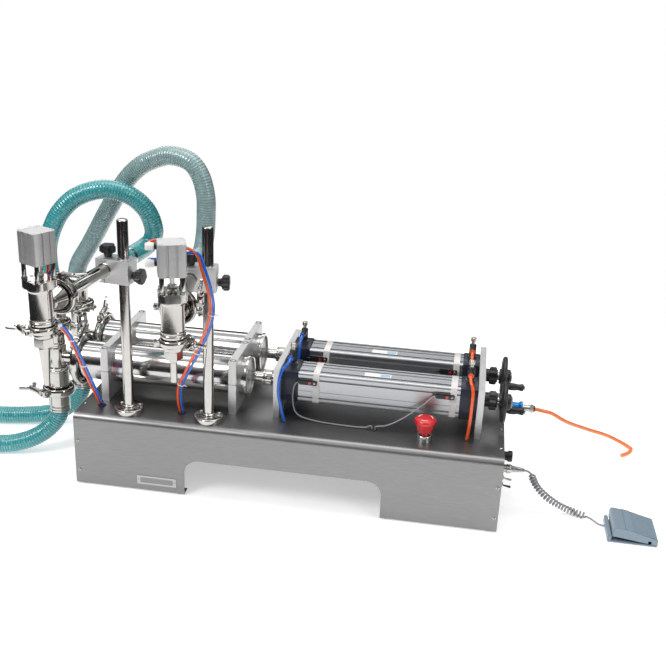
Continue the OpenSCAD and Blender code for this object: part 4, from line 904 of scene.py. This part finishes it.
AIR_LO, AIR_HI = box("air_plates")
BARREL_LO, BARREL_HI = box("air_barrels")
p = Piece("air_plates")
for x in (AIR_LO.x, AIR_HI.x - 12):
    p.prism([(AIR_LO.y, AIR_LO.z), (AIR_HI.y, AIR_LO.z), (AIR_HI.y, AIR_HI.z), (AIR_LO.y, AIR_HI.z)], x,
        x + 12, ALLOY, X_UP, 0.8)
    face = x if x < 0 else x + 12
    for row in ROWS:
        for dy in (-23, 23):
            for dz in (-23, 23):
                cap_bolt(p, place((face - 0.1 * (1 if x > 0 else -1), AXIS[row].y + dy, AXIS_Z + dz),
                    (1 if x > 0 else -1, 0, 0)) @ shift(0, 0, -5.2), 10, 6)
p.done("alloy")

p = Piece("air_caps")
for row in ROWS:
    for x in (BARREL_LO.x - 32, BARREL_HI.x):
        m = X_UP @ shift(AXIS[row].y, AXIS_Z, 0)
        p.prism(grooved(65, 7, ()), x, x + 32, CAP, m, 1.2)
        for q in range(4):
            p.block((32.2, -15, x + 7), (32.9, 15, x + 25), CAP, m @ spin(q * pi / 2), 0.3)
p.done("cap_paint")

p = Piece("air_labels")
for row in ROWS:
    y, z = AXIS[row].y, AXIS_Z + 30
    p.block((132, y - 15, z - 0.1), (182, y + 1, z + 0.25), WHITE, bevel=0.1)
    p.block((162, y - 13, z + 0.2), (180, y - 1, z + 0.35), LABEL_BLUE, bevel=0.05)
p.done("alloy", replaces=())

p = Piece("speed_valves")
for x in (BARREL_LO.x - 16, BARREL_HI.x + 16):
    tube = BLUE if x < 100 else ORANGE
    for row in ROWS:
        y = AXIS[row].y
        m = shift(x, y, AXIS_Z + 32.5)
        p.hexagon(14.5, 0, 5, PLATED, m, 0.5)
        p.lathe([(0, 4.8), (6.5, 4.8), (6.8, 8), (6.8, 28), (5.6, 30), (0, 30)], BLACK, m, 28, 0.8)
        p.pipe(0, 3.6, 29, 36, BRASS, m, 24)
        p.lathe([(0, 35.6), (5, 35.6), (5.5, 36.4), (5.5, 43), (4.8, 44), (0, 44)], BRASS, m, 18, 0.5)
        for k in range(14):
            p.block((5.1, -0.5, 36.6), (5.6, 0.5, 43), BRASS, m @ spin(2 * pi * k / 14), 0.1)
        out = place((x, y, AXIS_Z + 32.5 + 23), (0, -1, 0))
        p.lathe([(0, 0), (6, 0), (6, 22), (5.6, 24), (5.6, 26), (3.1, 26)], BLACK, out, 28, 0.8)
        p.lathe([(3.1, 25.6), (4.9, 25.6), (5.2, 27), (4.8, 28), (3.1, 28)], tube, out, 24, 0.4)
p.done("plastic")

p = Piece("reed_sensors")
for x in (38, 294):
    for row in ROWS:
        y = AXIS[row].y
        m = X_UP @ shift(y, AXIS_Z, 0)
        outer, inner = grooved(62, 6, ()), grooved(60.05, 5, ())
        bm = bmesh.new()
        n = len(outer)
        rings = [[bm.verts.new((a, b, z)) for a, b in line] for line,
            z in ((inner, x), (outer, x), (outer, x + 12), (inner, x + 12))]
        for a, b in zip(rings, rings[1:]):
            for k in range(n):
                bm.faces.new((a[k], a[(k + 1) % n], b[(k + 1) % n], b[k]))
        p.join(bm, TIE, m)
        p.block((x - 26, y - 36, AXIS_Z + 8), (x + 8, y - 30.6, AXIS_Z + 17), BLACK, bevel=1)
        p.block((x - 8, y - 36.4, AXIS_Z + 10), (x - 3, y - 35.8, AXIS_Z + 15), RED, bevel=0.4)
        screw(p, place((x + 3.5, y - 35.8, AXIS_Z + 12.5), (0, -1, 0)), 5, 1)
        p.lathe([(1.7, 0), (3, 0), (2.4, 7), (1.7, 7)], BLACK, place((x - 25.5, y - 33, AXIS_Z + 12.5),
            (-1, 0, 0)), 14)
p.done("plastic")

for row in ROWS:
    lo, hi = box("handwheel_" + row)
    pin = centre("crank_handle_" + row)
    c = Vector((0, AXIS[row].y, AXIS_Z))
    reach_ = (Vector((0, pin.y, pin.z)) - c)
    crank = place(c, (1, 0, 0), reach_)
    p = Piece("handwheel_" + row)
    r = (hi.z - lo.z) / 2
    p.lathe([(8, 384), (14.5, 384), (15, 386), (15, 404), (13, 406), (8, 406)], BLACK, crank, 40, 1)
    p.lathe([(r - 9.6, 390), (r - 8.5, 388), (r - 4.6, 388.2), (r - 0.2, 391), (r, 394), (r - 1.5, 397.5),
        (r - 5, 398.2), (r - 8.4, 396.5), (r - 9.6, 393), (r - 9.6, 390)], BLACK, crank, 64, 0.8)
    for k in range(5):
        spoke = [(12, -5), (r - 8, -3.4), (r - 8, 3.4), (12, 5)]
        p.prism(spoke, 387.8, 393, BLACK, crank @ spin(2 * pi * k / 5), 1.6)
    p.pipe(0, 7.2, 387.5, 399, BLACK, crank @ shift(reach_.length, 0, 0), 28, 0.8)
    p.lathe([(0, 303), (7.9, 303), (7.9, 408.6), (6.8, 409), (0, 409)], PLATED, crank, 32)
    thread(p, crank @ shift(0, 0, 356.5), 8, 26, PLATED, 2)
    nut(p, crank @ shift(0, 0, 406), 19, 2.2)
    p.prism(lobed(15.4, 2.6, 6, 72), 365, 379, BLACK, crank, 1.6)
    p.pipe(8.05, 12.8, 357, 381, BLACK, crank, 36, 1)
    handle = crank @ shift(reach_.length, 0, 0)
    p.pipe(0, 2.9, 398, 433, PLATED, handle, 20)
    p.lathe([(0, 433.1), (4.9, 433.1), (4.4, 435.3), (0, 435.4)], PLATED, handle, 20, 0.5)
    p.done("plastic", "wheel_" + row)
    p = Piece("crank_handle_" + row)
    p.lathe([(3.1, 400), (5, 400), (6.6, 402), (7.4, 408), (7.2, 414), (6.1, 420), (6.2, 424), (7.4, 429),
        (6.8, 431.6), (5, 432.5), (3.1, 432.5)], BLACK, handle, 32, 1.2)
    p.done("plastic", "crank_" + row)

# ---- poles, clamps and nozzle arms ----

p = Piece("poles")
for x in POLE_X:
    n = POLES_HI.z - TOP
    p.lathe([(0, 0), (28, 0), (28, 8.5), (26.5, 10), (13, 10), (12.5, 13), (10.8, 14), (10, 15), (10, n - 2),
        (8, n), (0, n)], STEEL, shift(x, POLE_Y, TOP), 56, 0.8)
p.done("polished")

for side, px in zip(SIDES, POLE_X):
    z = ARM_Z[side]
    m = shift(px, POLE_Y, 0) @ spin(TURN[side])
    lo, hi = box("cross_clamp_" + side)
    p = Piece("cross_clamp_" + side)
    p.prism(eased([(-47, -18), (17, -18), (17, 18), (-47, 18)], 1.5, True), lo.z, hi.z, ALLOY, m, 1.2)
    p.lathe([(10.05, -0.1), (12, -0.1), (11.2, 0.35), (10.05, 0.35)], PLATED, m @ shift(0, 0, hi.z), 40, 0.1)
    for s in (-1, 1):
        p.lathe([(12.6, -0.1), (14.2, -0.1), (13.6, 0.3), (12.6, 0.3)], PLATED,
            m @ shift(ARM_X, s * 18, z) @ spin(-s * pi / 2, "X"), 40, 0.1)
        p.block((-30.5, s * 18 - 0.05 - 0.1, lo.z), (-29.5, s * 18 + 0.1, z - 12), BLACK, m, 0.02)
    cap_bolt(p, m @ shift(-38, -18, lo.z + 6) @ TO_FRONT @ shift(0, 0, -3.4), 7.5, 4)
    p.done("alloy", "stand_" + side)
    p = Piece("pole_knob_" + side)
    star_knob(p, m @ shift(17, 0, z - 8) @ TO_RIGHT, 6.5)
    p.done("plastic", "pole_knob_" + side)
    p = Piece("arm_knob_" + side)
    star_knob(p, m @ shift(ARM_X, 0, z + 22), 9)
    p.done("plastic", "arm_knob_" + side)

    nozzle = nozzle_frame(side)
    back = (m.inverted() @ nozzle).translation.y
    p = Piece("arm_" + side)
    n = HOSE_END - back - 55
    p.lathe([(10.5, 0), (25.2, 0), (25.2, 1.8), (20, 4), (18.4, 5), (18, 9), (12.5, 10.5), (12.5, n),
        (10.5, n)], STEEL, m @ shift(ARM_X, back + 55, z) @ TO_BACK, 56, 0.8)
    hose_clip(p, m @ shift(ARM_X, 72, z) @ TO_BACK @ spin(radians(80)), 17.7)
    p.done("polished", "stand_" + side)

# ---- nozzles ----

for side in SIDES:
    z, m, head = ARM_Z[side], nozzle_frame(side), head_frame(side)
    p = Piece("nozzle_body_" + side)
    p.lathe([(13, 384.1), (17, 384.1), (17, 394), (18, 395.5), (20.4, 396.4), (20.5, 401.4), (19, 402.4),
        (19, 404), (19.6, 405), (19.6, 407), (19, 408), (19, 452), (20, 454), (20, 458)], STEEL, m, 56, 0.8)
    p.prism(eased([(-23, -15), (-15, -23), (15, -23), (23, -15), (23, 15), (15, 23), (-15, 23), (-23, 15)], 4,
        True), 458, 472, STEEL, m @ spin(HEAD_TURN[side]), 1.4)
    p.lathe([(0, 472), (8, 472), (8, 472.6), (4.1, 472.6)], BRASS, m, 28, 0.2)
    side_port = m @ shift(0, 0, z) @ TO_BACK
    p.lathe([(13, 8), (13, 19), (15, 23), (20.5, 42), (22, 46), (22, 51), (25.2, 52.6), (25.2, 55), (12, 55)],
        STEEL, side_port, 56, 1.2)
    for a in range(4):
        corner = m @ spin(HEAD_TURN[side] + a * pi / 2)
        cap_bolt(p, corner @ shift(19, 0, 467.5), 6.4, 5)
    joint = m @ shift(0, 55, z)
    if side == "left":
        pipe_clamp(p, joint @ TO_RIGHT @ TO_FRONT, FERRULE_R, 16, 30, lean=pi / 2)
    else:
        pipe_clamp(p, joint @ TO_FRONT @ Matrix.Scale(-1, 4, (1, 0, 0)), FERRULE_R, 16, 30, lean=pi / 2)
    pipe_clamp(p, m @ shift(0, 0, 388) @ spin(radians(60 if side == "left" else 200)), 17, 12, 30,
        nut_size=0.9)
    p.done("polished", "stand_" + side)

    p = Piece("nozzle_cylinder_" + side)
    for x in (-16, 16):
        for y in (-16, 16):
            p.pipe(0, 3.5, 0, STANDOFF, STEEL, head @ shift(x, y, 0), 20)
            p.hexagon(8.5, 0, 4, PLATED, head @ shift(x, y, 0), 0.4)
            cap_bolt(p, head @ shift(x, y, 75.2), 7, 4)
    body = head @ shift(0, 0, STANDOFF)
    p.prism(grooved(44, 6, (-7, 7), 2.2, 4), 0, 52, ALLOY, body, 0.8)
    p.lathe([(0, 50.6), (14, 50.6), (15, 51.2), (15, 52.15), (16.2, 52.15), (16.6, 52.0)], ALLOY, body, 48,
        0.2)
    p.pipe(13.2, 14.8, 51.1, 51.8, BLACK, body, 48, 0.1)
    p.lathe([(4.1, -0.1), (9, -0.1), (9, -0.5), (7, -0.9), (4.1, -0.9)], BRASS, body, 28, 0.3)
    for i, h in enumerate(ELBOW_Z):
        e = body @ shift(-22, 0, h)
        p.lathe([(0, 0), (4.2, 0), (4.6, 1.2), (4.6, 4.4), (0, 4.4)], BLACK, e @ TO_LEFT, 24, 0.4)
        p.lathe([(0, 4.4), (5.8, 4.4), (6, 6), (6, 16.4), (4.6, 18), (0, 18)], WHITE, e @ TO_LEFT, 28, 1)
        p.lathe([(0, 0), (4.5, 0), (4.5, 10.6), (4.1, 11.6), (2.6, 11.6)], WHITE,
            e @ shift(-11, 0, 0) @ TO_BACK, 28, 0.8)
        p.lathe([(2.55, 11.2), (3.8, 11.2), (4.1, 13), (3.7, 14), (2.55, 14)], (ORANGE, BLUE)[i],
            e @ shift(-11, 0, 0) @ TO_BACK, 24, 0.3)
    p.done("alloy", "stand_" + side)

    lo, hi = box("nozzle_stem_" + side)
    p = Piece("nozzle_stem_" + side)
    p.lathe([(0, lo.z), (2, lo.z), (7, lo.z + 8), (4, lo.z + 8.5), (4, hi.z - 8), (15.9, hi.z - 8),
        (15.9, hi.z), (0, hi.z)], PLATED, m, 36)
    p.hexagon(13, 475, 483, PLATED, m @ spin(HEAD_TURN[side]), 0.6)
    p.lathe([(4, 483), (5.6, 483), (5.2, 483.5), (4, 483.6)], PLATED, m, 24)
    p.done("bright", "stem_" + side)

    lo = box("nozzle_spout_" + side)[0]
    p = Piece("nozzle_spout_" + side)
    p.lathe([(8, 384), (17, 384), (17, 376), (16, 374), (12, 374)], STEEL, m, 48)
    p.hexagon(30 if side == "left" else 26, 358.2, 373.8, STEEL, m, 1)
    if side == "left":
        p.lathe([(3, lo.z), (4.4, lo.z), (4.6, lo.z + 1), (9.2, 350), (9.8, 352), (9.8, 358), (0, 358)],
            STEEL, m, 40)
    else:
        p.lathe([(3.4, lo.z), (5.4, lo.z), (5.5, lo.z + 1), (5.5, 352), (8, 354), (8, 358), (0, 358)], STEEL,
            m, 40)
    # painted shade: a black disc inside the tip stands for the dark of the spout's bore
    p.lathe([(0, lo.z + 3), (4, lo.z + 3)], BLACK, m, 20, 0)
    p.done("polished", "stand_" + side)

# ---- controls ----

c = centre("estop_button")
m = shift(c.x, c.y, TOP)
p = Piece("estop_button")
p.lathe([(0, -30), (7.9, -30), (7.9, 18), (13, 18), (13.5, 21), (16.4, 29), (19.4, 36), (20, 39), (19.6, 42),
    (17, 44.6), (8, 46), (0, 46)], RED, m, 56, 1.2)
for k in range(3):
    a = 2 * pi * k / 3
    ring = [(13.6 * cos(a + t * 0.11), 13.6 * sin(a + t * 0.11)) for t in range(9)]
    ring += [(12.2 * cos(a + t * 0.11), 12.2 * sin(a + t * 0.11)) for t in range(8, -1, -1)]
    p.prism(ring, 44.4, 45.6, WHITE, m, 0)
p.done("stop_red", "estop")

p = Piece("panel_fittings")
p.lathe([(8.1, -26), (10.9, -26), (10.9, 0), (14.5, 0), (14.5, 3), (13.8, 4), (14.5, 5), (14.5, 11.5),
    (13.2, 13), (8.1, 13)], PLATED, m, 56, 0.6)
K = centre("regulator_knob")
TOGGLE_Z = {"toggle_front": 66, "toggle_rear": 51}
for z in TOGGLE_Z.values():
    t = along_x(X0, FITTING_Y, z)
    p.hexagon(13, 0, 2.8, BLACK, t, 0.4)
    p.lathe([(2.8, 2.6), (4.5, 2.6), (4.5, 6.9), (3.5, 6.9), (3.5, 3.2), (2.8, 3.2)], PLATED, t, 28, 0.3)
    p.lathe([(5.6, 0), (7.6, 0), (7.2, 0.7), (5.6, 0.7)], PLATED, t, 28, 0.2)
    p.block((-6, -6, -24), (6, 6, -2), BLACK, t, 1)
g = along_x(X0, FITTING_Y, GLAND_Z)
p.lathe([(2.4, -6), (5.9, -6), (5.9, 0), (9, 0), (9, 5.6), (7.5, 6), (7.5, 10), (8.5, 10), (8.5, 17),
    (6.4, 21), (4.6, 22), (2.4, 22)], PLATED, g, 36, 0.6)
p.hexagon(15.4, 0.2, 5.8, PLATED, g, 0.8)
spring = [Vector((X0 + 18 + 25.6 * k / 168, FITTING_Y + (6 - 2.9 * k / 168) * cos(2 * pi * k / 14),
    GLAND_Z + (6 - 2.9 * k / 168) * sin(2 * pi * k / 14))) for k in range(169)]
p.tube(spring, 0.85, PLATED, 8)
p.block((X0 - 34, FITTING_Y - 12, K.z - 12), (X0 - 2, FITTING_Y + 12, K.z + 12), ALLOY, bevel=1.5)
p.pipe(4, 8.5, -2, 3, PLATED, place((X0, FITTING_Y, K.z), (1, 0, 0)), 36)
v = along_x(X0, INLET_AT.y, INLET_AT.z)
p.lathe([(3.5, -14), (5.9, -14), (5.9, 0), (9, 0), (9, 10), (7, 10), (7, 54), (3.5, 54)], PLATED, v, 36, 0.6)
p.hexagon(16, 0.5, 9.6, PLATED, v, 1)
p.hexagon(14.6, 54, 61, BRASS, v, 0.8)
p.lathe([(4, 60.8), (6.4, 60.8), (6.2, 64), (4, 64)], BLACK, v, 28, 0.4)
for spot, r in (((-360, -104), 8), ((-204, -100), 8), (G, 7), ((-9, -90), 6), ((331, -84), 6), ((-8, 28), 6),
        ((334, 28), 6)):
    p.lathe([(0, -3), (r - 1.1, -3), (r - 1.1, 0), (r, 0), (r, 1), (r - 1.2, 2), (r - 2.6, 1.4), (0, 1.2)],
        RUBBER, shift(*spot, TOP), 28, 0.5)
p.done("bright")

p = Piece("regulator_knob")
k = along_x(X0 + 3.3, FITTING_Y, K.z)
p.lathe([(0, -14), (3.95, -14), (3.95, 0), (8.4, 0), (8.4, 6), (10, 6.4), (10, 14), (9, 15), (0, 15)], BLACK,
    k, 40, 0.6)
for i in range(20):
    p.block((9.7, -0.6, 7), (10.4, 0.6, 13.6), BLACK, k @ spin(2 * pi * i / 20), 0.25)
p.lathe([(0, 14.8), (7, 14.8), (6.6, 15.0), (0, 15.0)], PLATED, k, 32, 0.1)
p.done("plastic", "regulator")

for name, body, mat in (("toggle_front", "toggle_upper", PLATED), ("toggle_rear", "toggle_lower", BLACK)):
    z = TOGGLE_Z[name]
    p = Piece(name)
    t = place((X0 + 1, FITTING_Y, z), (cos(radians(10)), 0, -sin(radians(10))))
    p.lathe([(0, -2.6), (1.8, -1.8), (2.6, 0), (1.8, 1.8), (1.2, 2.6), (2.1, 17), (2.45, 19), (2, 20.8),
        (0, 21.5)], mat, t, 24, 0.8)
    p.done("bright", body)

p = Piece("slide_sleeve")
lo = box("slide_sleeve")[0]
s = place((lo.x, INLET_AT.y, INLET_AT.z), (1, 0, 0))
p.lathe([(7.1, 0), (12, 0), (13, 1), (13, 4.6), (10.4, 7.4), (10, 9), (10, 18), (10.4, 19.6), (13, 22.4),
    (13, 26), (12, 27), (7.1, 27)], BLUE_METAL, s, 48, 0.8)
for i in range(28):
    p.block((12.7, -0.45, 1), (13.0, 0.45, 4.2), BLUE_METAL, s @ spin(2 * pi * i / 28), 0.1)
p.done("blue_anodised", "inlet_sleeve")

# ---- foot pedal ----

Y_UP = Matrix(((1, 0, 0, 0), (0, 0, -1, 0), (0, 1, 0, 0), (0, 0, 0, 1)))   # local X, Y, Z to X, Z, -Y
PX, PY0, PY1 = PEDAL_LO.x, PEDAL_LO.y, PEDAL_HI.y
pivot = Vector((PX + 74, 0, 8.5))
p = Piece("pedal_base")
p.prism(eased([(PX, PY0), (PEDAL_HI.x, PY0), (PEDAL_HI.x, PY1), (PX, PY1)], 3, True), 1, 4, PEDAL, bevel=0.8)
p.block((PX, PY0, 1), (PX + 7, PY1, 14), PEDAL, bevel=1.6)
for y in (PY0 + 4, PY1 - 8):
    ear = [(pivot.x - 9, 3), (pivot.x + 9, 3), (pivot.x + 4.2, 10.5), (pivot.x + 2, 12.8),
        (pivot.x - 2, 12.8), (pivot.x - 4.2, 10.5)]
    p.prism(eased(ear, 1, True), -y - 4, -y, PEDAL, Y_UP, 0.4)
p.block((PX + 14, PY0 + 24, 4), (PX + 32, PY0 + 46, 11), BLACK, bevel=0.8)
p.lathe([(0, 0), (4.4, 0), (4, 1.2), (2.2, 1.4)], RUBBER, place((PX + 0.2, -93, 8), (-1, 0, 0))
    @ shift(0, 0, -1.2), 20, 0.4)
for x in (PX + 10, PEDAL_HI.x - 10):
    for y in (PY0 + 10, PY1 - 10):
        p.pipe(0, 5, 0, 1, RUBBER, shift(x, y, 0), 20, 0.2)
p.done("pedal_paint")

p = Piece("pedal_treadle")
skin = [(8, 13), (8, 27), (9, 29.4), (12, 31), (16, 30.4), (30, 28.2), (30.6, 30), (43.4, 27.7), (44, 25.7),
    (83, 17.1), (87, 15.4), (88, 12.6), (88, 4.6), (83, 4.6), (15, 13)]
inner = [(10.5, 12.8), (10.5, 25.6), (14, 27.8), (44, 23), (84, 14.4), (85, 5)]
wall = [(x + PX, z) for x, z in skin]
roof = [(x + PX, z) for x, z in skin[:13]] + [(x + PX, z) for x, z in inner[::-1]]
p.prism(roof, -PY1 + 2.6, -PY0 - 2.6, PEDAL, Y_UP, 0)
for y in (PY0, PY1 - 3):
    p.prism(wall, -y - 3, -y, PEDAL, Y_UP, 0.6)
for i in range(7):
    x = PX + 48 + 5 * i
    z = 25.9 - 0.2205 * (48 + 5 * i - 44)
    p.block((-1, PY0 + 8, -0.6), (1, PY1 - 8, 0.5), PEDAL, shift(x, 0, z) @ spin(radians(12.4), "Y"), 0.3)
p.bar((pivot.x, PY0 - 0.4 + 0.5, pivot.z), (pivot.x, PY1 - 0.1, pivot.z), 2, PLATED, 20)
for y, d in ((PY0, -1), (PY1, 1)):
    p.pipe(0, 3.2, -0.3, 0, BLACK, place((pivot.x, y, pivot.z), (0, d, 0)), 20, 0.1)
p.done("pedal_paint", "treadle")
